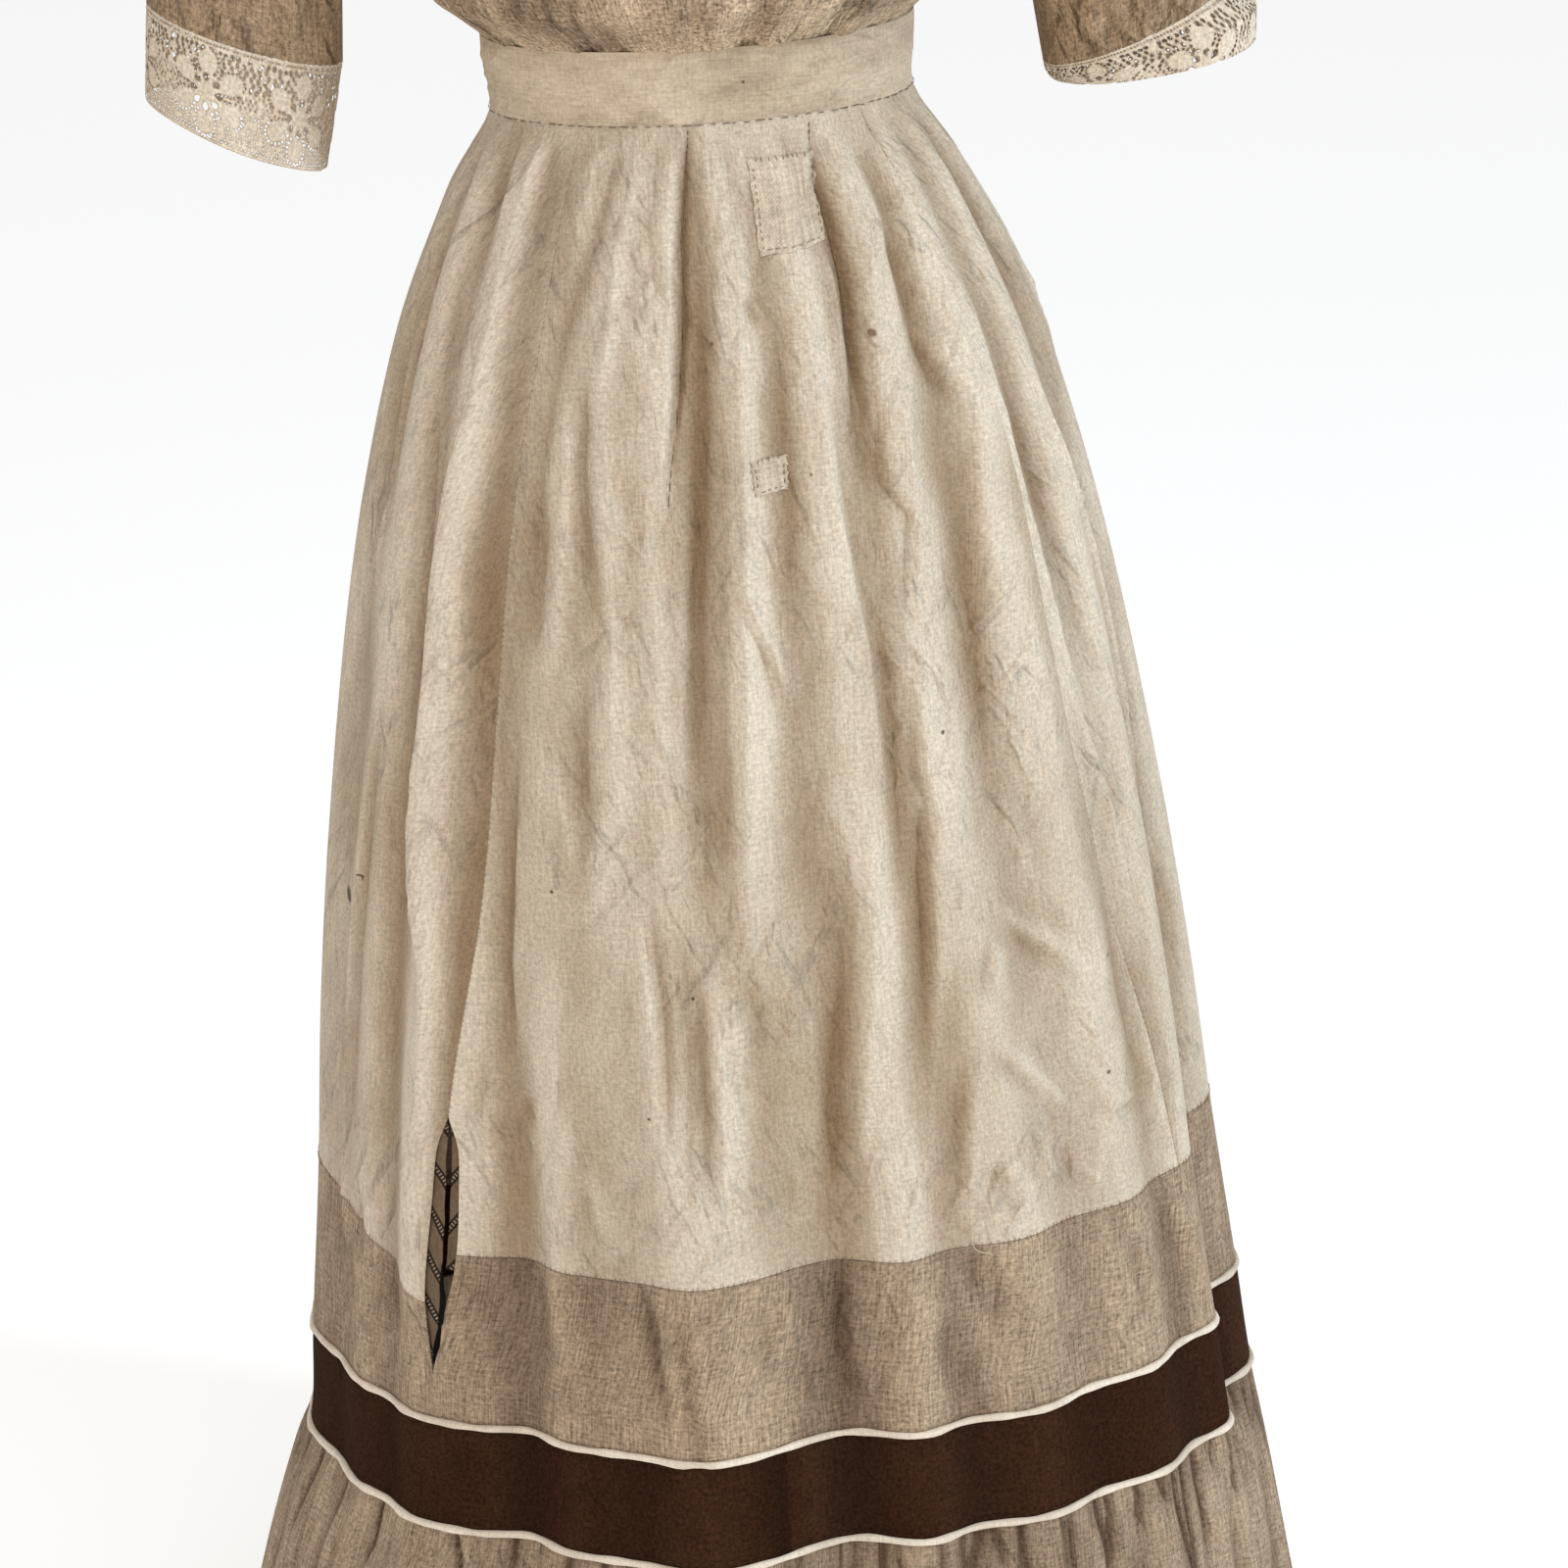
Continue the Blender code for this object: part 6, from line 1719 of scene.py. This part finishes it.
def makeFacing(name, facing):
    sign = facing["sign"]
    drop = np.linspace(facing["drops"][0], facing["drops"][-1], facingForm["rows"] + 1)
    half, middle = slitHalf(drop), slitAngle(drop)
    edge = onSkirt(middle + sign * half, drop, 0.0)
    beside = skirtSurface(middle + sign * (half + facingForm["beside"]), drop)
    bare = skirtSurface(middle + sign * half, drop)
    along = unit(bare - beside)
    inwards = np.cross(along, np.array([0.0, 0.0, 1.0])) * sign
    opened = np.radians(2 * half) * skirtRadius(drop)
    width = opened * np.interp(drop, facing["drops"], facing["shown"])
    share = np.linspace(0, 1, facingForm["columns"] + 1)[None, :]
    reach = -facingForm["under"] + (width[:, None] + facingForm["under"]) * share
    size, waves = facingForm["ripple"]
    bowed = facingForm["deep"] - facingForm["bow"] * np.sin(math.pi * share)
    bowed = bowed + size * np.sin(drop * waves)[:, None]
    places = edge[:, None] + along[:, None] * reach[..., None] + inwards[:, None] * bowed[..., None]
    # painted shade: beyond its lit share the free edge is painted near black
    lit = opened * np.interp(drop, facing["drops"], facing["lit"])
    paintedShading = np.clip((reach - lit[:, None]) / facingForm["darkReach"], -1, 2)
    if sign > 0:
        places, paintedShading = places[:, ::-1], paintedShading[:, ::-1]
    piece = sheetMesh(name, places, finishes["facingPrint"], wall=thinWall, paintedShading=paintedShading)
    if sign > 0:
        for corner in piece.data.uv_layers["cloth"].data:
            corner.uv.x = -corner.uv.x
    settle(piece, [facing["node"]])


for name, facing in facings.items():
    makeFacing(name, facing)
print("facings made")

# seams and darts as they show, and dark cords laid in two dart troughs as painted shadow lines: path of angle
# and drop, kind of stitch and thread
seamsAndShadowLines = (
    (((-4.7, 0.002), (-5.9, 0.029)), "dart", "darkThreadAndShadow"),
    (((28.4, 0.004), (26.9, 0.018)), "dart", "darkThreadAndShadow"),
    (((-5.9, 0.030), (-6.8, 0.061), (-6.8, 0.099), (-7.8, 0.137), (-9.3, 0.176), (-9.9, 0.200)),
     "foldShadowLine", "darkThreadAndShadow"),
    (((26.9, 0.019), (25.9, 0.037), (26.2, 0.059), (25.7, 0.086), (24.3, 0.113), (24.1, 0.139)),
     "foldShadowLine", "darkThreadAndShadow"),
    (((-35.6, 0.002), (-35.3, 0.016), (-35.0, 0.034)), "shownGore", "paleThread"),
    (((46.2, 0.003), (46.6, 0.022), (47.0, 0.042)), "shownGore", "paleThread"),
)


# hidden seams: from and to, as drops
goreSeams = {
    "frontLeft": (0.045, 0.545),
    "frontRight": (0.37, 0.628),
    "backRight": (0.004, 0.628),
    "backLeft": (0.004, 0.628),
    "centreBack": (0.004, 0.628),
}


def roundAt(drop):
    return [(angle, drop) for angle in np.linspace(0, 360, 181)]


def makeSeamWork():
    joinStitches("waistStitches", runAlong(roundAt(0.0004), "waist", 3), "darkThreadAndShadow", 0.00028)
    runs = []
    for seed, (seam, (start, last)) in enumerate(goreSeams.items(), start=5):
        drops = np.linspace(start, last, 60)
        angles = readCurve(gores["seamDrops"], gores["seams"][seam], drops) + 0.1
        runs += runAlong(list(zip(angles, drops)), "gore", seed)
    joinStitches("goreStitches", runs, "seamThread", 0.00016)
    for number, (line, kind, finish) in enumerate(seamsAndShadowLines):
        runs = runAlong(list(line), kind, 70 + number)
        joinStitches("seamAndShadowLine" + str(number + 1), runs, finish, 0.00026)
    first = float(slitAngle(skirt["seamDrop"])) + 2.6
    angles = np.linspace(first, first + 354.8, 361)
    runs = runAlong(list(zip(angles, skirt["seamDrop"] + seamSag(angles))), "joint", 11, cross=True)
    joinStitches("jointStitches", runs, "seamThread", 0.00028)
    runs = runAlong(roundAt(skirt["upperPiping"] - bands["pipingRadius"] - 0.0011), "piping", 13)
    joinStitches("pipingStitches", runs, "tanThread", 0.00020)
    runs = []
    for drop in (skirt["upperPiping"] + 0.0050, skirt["lowerPiping"] - 0.0050):
        runs += runAlong(roundAt(drop), "hem", 17)
    joinStitches("brownStitches", runs, "brownThread", 0.00018)


makeSeamWork()

# a thread end that has come loose beside the seam
looseThread = ((24.9, 0.6280), (25.0, 0.6310), (25.5, 0.6335), (26.2, 0.6345), (26.8, 0.6350), (27.1, 0.6370))


def makeLooseThread():
    steps = np.arange(len(looseThread))
    share = np.linspace(0, steps[-1], 26)
    angles, drops = (readCurve(steps, column, share) for column in np.array(looseThread).T)
    lifts = 0.0006 + 0.0012 * np.sin(math.pi * share / steps[-1])
    joinStitches("looseThread", [onSkirt(angles, drops, lifts)], "paleThread", 0.00026)


# a tuck in the left sleeve: rings and degrees of its ends
tuck = {"rings": (3.44, 3.80), "degrees": (80.5, 78.8), "points": 9, "lift": 0.0001, "radius": 0.0005}


def makeTuck():
    ring, degrees = (np.linspace(*tuck[key], tuck["points"]) for key in ("rings", "degrees"))
    run = sleeveSurface("left", ring, np.radians(degrees), tuck["lift"])
    joinStitches("sleeveTuck", [run], "darkThreadAndShadow", tuck["radius"])


makeLooseThread()
makeTuck()
joinStitches("buttonThreads", buttonThreads, "seamThread", 0.00028)
print("stitches made")

# lace of the cuffs, one repeat in mm: a wheel of eight holes, six cloth petals round it, open ground between
# them, and cords along both edges
lace = {
    "repeats": 6,
    "start": {"left": -17.5, "right": -24.0},
    "width": 60.0,
    "depth": 58.0,
    "across": 96,
    "down": 92,
    "wheel": (30.0, 30.2),
    "wheelRing": 8.1,
    "wheelHole": (1.95, 2.5),
    "wheelReach": 11.2,
    "petalRing": 17.4,
    "petal": (5.6, 6.9),
    "petalHoles": 20,
    # rows of small holes: how many, how far down or from the wheel's middle, and their half sizes
    "ringRow": (24, 12.1, 0.75, 0.95),
    "edgeRow": (30, 2.3, 0.58, 0.50),
    "headRow": (17, 6.0),
    "footRow": (25, 54.7, 0.7, 0.55),
    # open ground: its first row, where its holes become smaller, and its end
    "ground": (9.2, 23.0, 53.4),
    # how far a place without a hole counts as from the next one
    "whole": 9.0,
    "relief": {"petal": 0.00035, "wheel": 0.0003, "cord": 0.0002},
    "endGap": 0.27,
    "wave": 0.0007,
    "cords": ((3.9, 0.5), (0.9, 0.6), (56.4, 0.6)),
    "topGap": {"left": 0.004, "right": 0.006},
}


def onRing(ring, turn):
    return lace["wheel"][0] + ring * math.cos(turn), lace["wheel"][1] + ring * math.sin(turn)


def petalPlaces():
    for step in range(6):
        turn = math.radians(30 + 60 * step)
        yield *onRing(lace["petalRing"], turn), turn


def inPetal(u, v, grown):
    for petalU, petalV, turn in petalPlaces():
        for shift in (-lace["width"], 0, lace["width"]):
            du, dv = u - petalU - shift, v - petalV
            radial, aside = turnedTo(du, dv, turn)
            if (aside / (lace["petal"][0] + grown)) ** 2 + (radial / (lace["petal"][1] + grown)) ** 2 < 1:
                return True
    return False


def inWheel(u, v, reach):
    wheelU, wheelV = lace["wheel"]
    return math.hypot(u - wheelU, v - wheelV) < reach


# each hole: place, half width across and along, turn, power of its outline and how it widens
def laceHoles(seed):
    dice = random.Random(seed)
    holes = []
    for step in range(8):
        turn = math.radians(45 * step) + dice.uniform(-0.05, 0.05)
        place = onRing(lace["wheelRing"] * dice.uniform(0.97, 1.03), turn)
        sizes = [size * dice.uniform(0.85, 1.1) for size in lace["wheelHole"]]
        holes.append((*place, *sizes, turn, 1.5, 0.5))
    count, ring, across, along = lace["ringRow"]
    for step in range(count):
        turn = math.radians(15 * step + 7.5)
        place = onRing(ring, turn)
        if not inPetal(*place, 0.4):
            holes.append((*place, across, along, turn, 2, 0))
    for petalU, petalV, turn in petalPlaces():
        for step in range(lace["petalHoles"]):
            spin = 2 * math.pi * (step + 0.5) / lace["petalHoles"]
            radial = (lace["petal"][1] + 1.2) * math.cos(spin)
            aside = (lace["petal"][0] + 1.2) * math.sin(spin)
            u = petalU + radial * math.cos(turn) - aside * math.sin(turn)
            v = petalV + radial * math.sin(turn) + aside * math.cos(turn)
            taken = inWheel(u, v, lace["wheelReach"]) or inPetal(u, v, 0.45) or v > 56.0
            if taken or dice.random() < 0.10:
                continue
            size = dice.uniform(0.60, 0.85)
            holes.append((u, v, size, size * dice.uniform(1.0, 1.4), spin + turn, 2, 0))
    count, down, across, along = lace["edgeRow"]
    for step in range(count):
        holes.append((step * 2.0 + 1.0, down, across, along, 0, 2, 0))
    count, down = lace["headRow"]
    for step in range(count):
        u = (step + 0.5) * lace["width"] / count + dice.uniform(-0.35, 0.35)
        v = down + dice.uniform(-0.4, 0.4)
        if not inPetal(u, v, 1.2) and dice.random() > 0.12:
            sizes = dice.uniform(1.0, 1.75), dice.uniform(0.9, 1.35)
            holes.append((u, v, *sizes, dice.uniform(-0.4, 0.4), 2, 0))
    count, down, across, along = lace["footRow"]
    for step in range(count):
        holes.append((step * 2.4 + 1.2, down + dice.uniform(-0.2, 0.2), across, along, 0, 2, 0))
    row = 0
    v, smaller, end = lace["ground"]
    while v < end:
        upper = v < smaller
        u = 1.5 if row % 2 else 0.0
        while u < 59.5:
            if not (inPetal(u, v, 2.0) or inWheel(u, v, 13.4)) and dice.random() > (0.08 if upper else 0.24):
                size = dice.uniform(1.00, 1.35) if upper else dice.uniform(0.46, 0.66)
                shift, rise = dice.uniform(-0.3, 0.3), dice.uniform(-0.25, 0.25)
                holes.append((u + shift, v + rise, size * 1.25, size * 0.78, dice.uniform(-0.4, 0.4), 2, 0))
            u += 4.3 if upper else 3.0
        row += 1
        v += 3.0 if upper else 2.4
    return holes


def laceField(u, v, holes):
    field = np.full(np.broadcast(u, v).shape, lace["whole"])
    for holeU, holeV, acrossR, alongR, turn, power, flare in holes:
        reach = 3.5 * max(acrossR, alongR)
        columns = np.where(np.abs(u[0] - holeU) < reach)[0]
        rows = np.where(np.abs(v[:, 0] - holeV) < reach)[0]
        if not len(columns) or not len(rows):
            continue
        block = np.ix_(rows, columns)
        du, dv = u[0][columns][None, :] - holeU, v[:, 0][rows][:, None] - holeV
        along, across = turnedTo(du, dv, turn)
        across = across / np.clip(1 + flare * along / alongR, 0.3, 2)
        size = (np.abs(across / acrossR) ** power + np.abs(along / alongR) ** power) ** (1 / power)
        field[block] = np.minimum(field[block], (size - 1) * min(acrossR, alongR))
    scallop = 57.3 + 0.35 * np.abs(np.sin(u * math.pi / 2.9))
    return np.minimum(field, scallop - v)


def laceRelief(u, v):
    relief = np.zeros(np.broadcast(u, v).shape)
    for petalU, petalV, turn in petalPlaces():
        du, dv = u - petalU, v - petalV
        radial, aside = turnedTo(du, dv, turn)
        size = np.sqrt((aside / lace["petal"][0]) ** 2 + (radial / lace["petal"][1]) ** 2)
        dished = 1 - 0.35 * np.clip(1 - size, 0, 1)
        relief = np.maximum(relief, lace["relief"]["petal"] * ease((1.08 - size) / 0.2) * dished)
    wheelU, wheelV = lace["wheel"]
    fromWheel = np.hypot(u - wheelU, v - wheelV)
    turn = np.arctan2(v - wheelV, u - wheelU)
    plaits = 0.5 + 0.5 * np.cos(8 * turn + math.pi)
    relief = np.maximum(relief, lace["relief"]["wheel"] * plaits * ease((11.0 - fromWheel) / 1.5))
    cords = sum(np.exp(-(((v - at) / half) ** 2)) for at, half in lace["cords"])
    return relief + lace["relief"]["cord"] * cords


# cells of a grid whose solid value is above zero; cut cells get corners where the value is zero
def openSheet(solid):
    inside = solid > 0
    rows, columns = solid.shape
    number = np.full(solid.shape, -1)
    number[inside] = np.arange(inside.sum())
    grid = [np.stack(np.nonzero(inside), axis=1).astype(float)]
    count = int(inside.sum())
    crossing = {}
    for axis in (0, 1):
        first = solid[:-1] if axis == 0 else solid[:, :-1]
        second = solid[1:] if axis == 0 else solid[:, 1:]
        cut = (first > 0) != (second > 0)
        share = np.clip(first[cut] / (first[cut] - second[cut]), 0.08, 0.92)
        spots = np.stack(np.nonzero(cut), axis=1).astype(float)
        spots[:, axis] += share
        numbers = np.full(cut.shape, -1)
        numbers[cut] = count + np.arange(cut.sum())
        count += int(cut.sum())
        grid.append(spots)
        crossing[axis] = numbers
    whole = inside[:-1, :-1] & inside[1:, :-1] & inside[1:, 1:] & inside[:-1, 1:]
    part = (inside[:-1, :-1] | inside[1:, :-1] | inside[1:, 1:] | inside[:-1, 1:]) & ~whole
    faces = cellCorners(number)[whole].tolist()
    for r, c in zip(*np.nonzero(part)):
        ring = (
            (number[r, c], crossing[0][r, c]),
            (number[r + 1, c], crossing[1][r + 1, c]),
            (number[r + 1, c + 1], crossing[0][r, c + 1]),
            (number[r, c + 1], crossing[1][r, c]),
        )
        face = [int(index) for pair in ring for index in pair if index >= 0]
        if len(face) > 2:
            faces.append(face)
    return np.concatenate(grid), faces


def makeLace(side, half, node, seed):
    repeats = lace["repeats"] // 2
    begin = lace["start"][side] + (0.0 if half == "outer" else 180.0)
    if side == "right":
        begin = -begin - 180.0
    gap, length = lace["endGap"], repeats * lace["width"]
    u = np.linspace(gap, length - gap, repeats * lace["across"] + 1)[None, :]
    v = np.linspace(0.0, lace["depth"], lace["down"] + 1)[:, None]
    holes = []
    for repeat in range(repeats):
        for hole in laceHoles(seed + repeat):
            holes.append((hole[0] + repeat * lace["width"], *hole[1:]))
    solid = laceField(u + 0 * v, v + 0 * u, holes)
    for edge in (solid[:, 0], solid[:, -1], solid[0, :]):
        edge[:] = lace["whole"]
    spots, faces = openSheet(solid)
    placeU = np.interp(spots[:, 1], np.arange(u.shape[1]), u[0])
    placeV = np.interp(spots[:, 0], np.arange(v.shape[0]), v[:, 0])
    down = placeV / lace["depth"]
    ring = 4 + blend(lace["topGap"][side], 1.0, down)
    turn = np.radians(begin + placeU / lace["width"] * 360.0 / lace["repeats"])
    if side == "right":
        turn = -turn
    local = placeU % lace["width"]
    out = laceRelief(local, placeV) + lace["wave"] * np.sin(turn * 5 + seed) * down
    places = sleeveSurface(side, ring, turn, out)
    name = "laceCuff" + side.capitalize() + half.capitalize()
    mesh = bpy.data.meshes.new(name)
    mesh.from_pydata(places.tolist(), [], faces)
    mesh.update()
    # faces look outwards from the middle of the cuff
    axisPoint = sleeveSurface(side, 4.5, np.array([math.pi / 2, -math.pi / 2])).mean(axis=0)
    top = places[:, 2].max()
    sample = min(mesh.polygons, key=lambda face: abs(face.center.z - top))
    if sample.normal.dot(Vector(sample.center) - Vector(axisPoint)) < 0:
        mesh.flip_normals()
    corner = np.empty(len(mesh.loops), int)
    mesh.loops.foreach_get("vertex_index", corner)
    addMeasures(mesh, np.stack([placeU[corner], -placeV[corner]], axis=1) * 0.001)
    # painted shade: darker towards the edges of the holes
    beside = np.concatenate([solid[solid > 0], np.zeros(len(spots) - int((solid > 0).sum()))])
    addLayer(mesh, "paintedShading", "FLOAT", "POINT", (1.6 * np.exp(-beside / 0.45) - 0.55).astype(np.float32))
    mesh.materials.append(finishes["laceThread"])
    mesh.shade_smooth()
    settle(placed(name, mesh), [node])


for number, side in enumerate(("left", "right")):
    for half in ("outer", "inner"):
        makeLace(side, half, "lace_" + side + "_" + half, 100 + 10 * number + (5 if half == "inner" else 0))
print("lace made")

# the floor and the light
def makeStage():
    bpy.ops.mesh.primitive_plane_add(size=lighting["floorSize"], location=(0, 0, lighting["floorZ"]))
    floor = bpy.context.object
    floor.name = "floor"
    pale, _, shader = newMaterial("paleFloor")
    shader.inputs["Base Color"].default_value = (*[lighting["floorColour"]] * 3, 1)
    shader.inputs["Roughness"].default_value = 1.0
    shader.inputs["Emission Color"].default_value = (1, 1, 1, 1)
    shader.inputs["Emission Strength"].default_value = lighting["floorGlow"]
    floor.data.materials.append(pale)
    world = bpy.data.worlds.new("studio")
    world.use_nodes = True
    world.node_tree.nodes["Background"].inputs[0].default_value = (1, 1, 1, 1)
    world.node_tree.nodes["Background"].inputs[1].default_value = lighting["sky"]
    bpy.context.scene.world = world
    bpy.context.scene.view_settings.view_transform = "Standard"
    for name, lamp in lighting["lights"].items():
        light = bpy.data.lights.new(name, "AREA")
        light.size = lamp["size"]
        light.energy = lamp["power"]
        light.color = lamp["colour"]
        body = placed(name, light)
        body.location = lamp["place"]
        towards = Vector(lighting["lookAt"]) - Vector(lamp["place"])
        body.rotation_euler = towards.to_track_quat("-Z", "Y").to_euler()


makeStage()
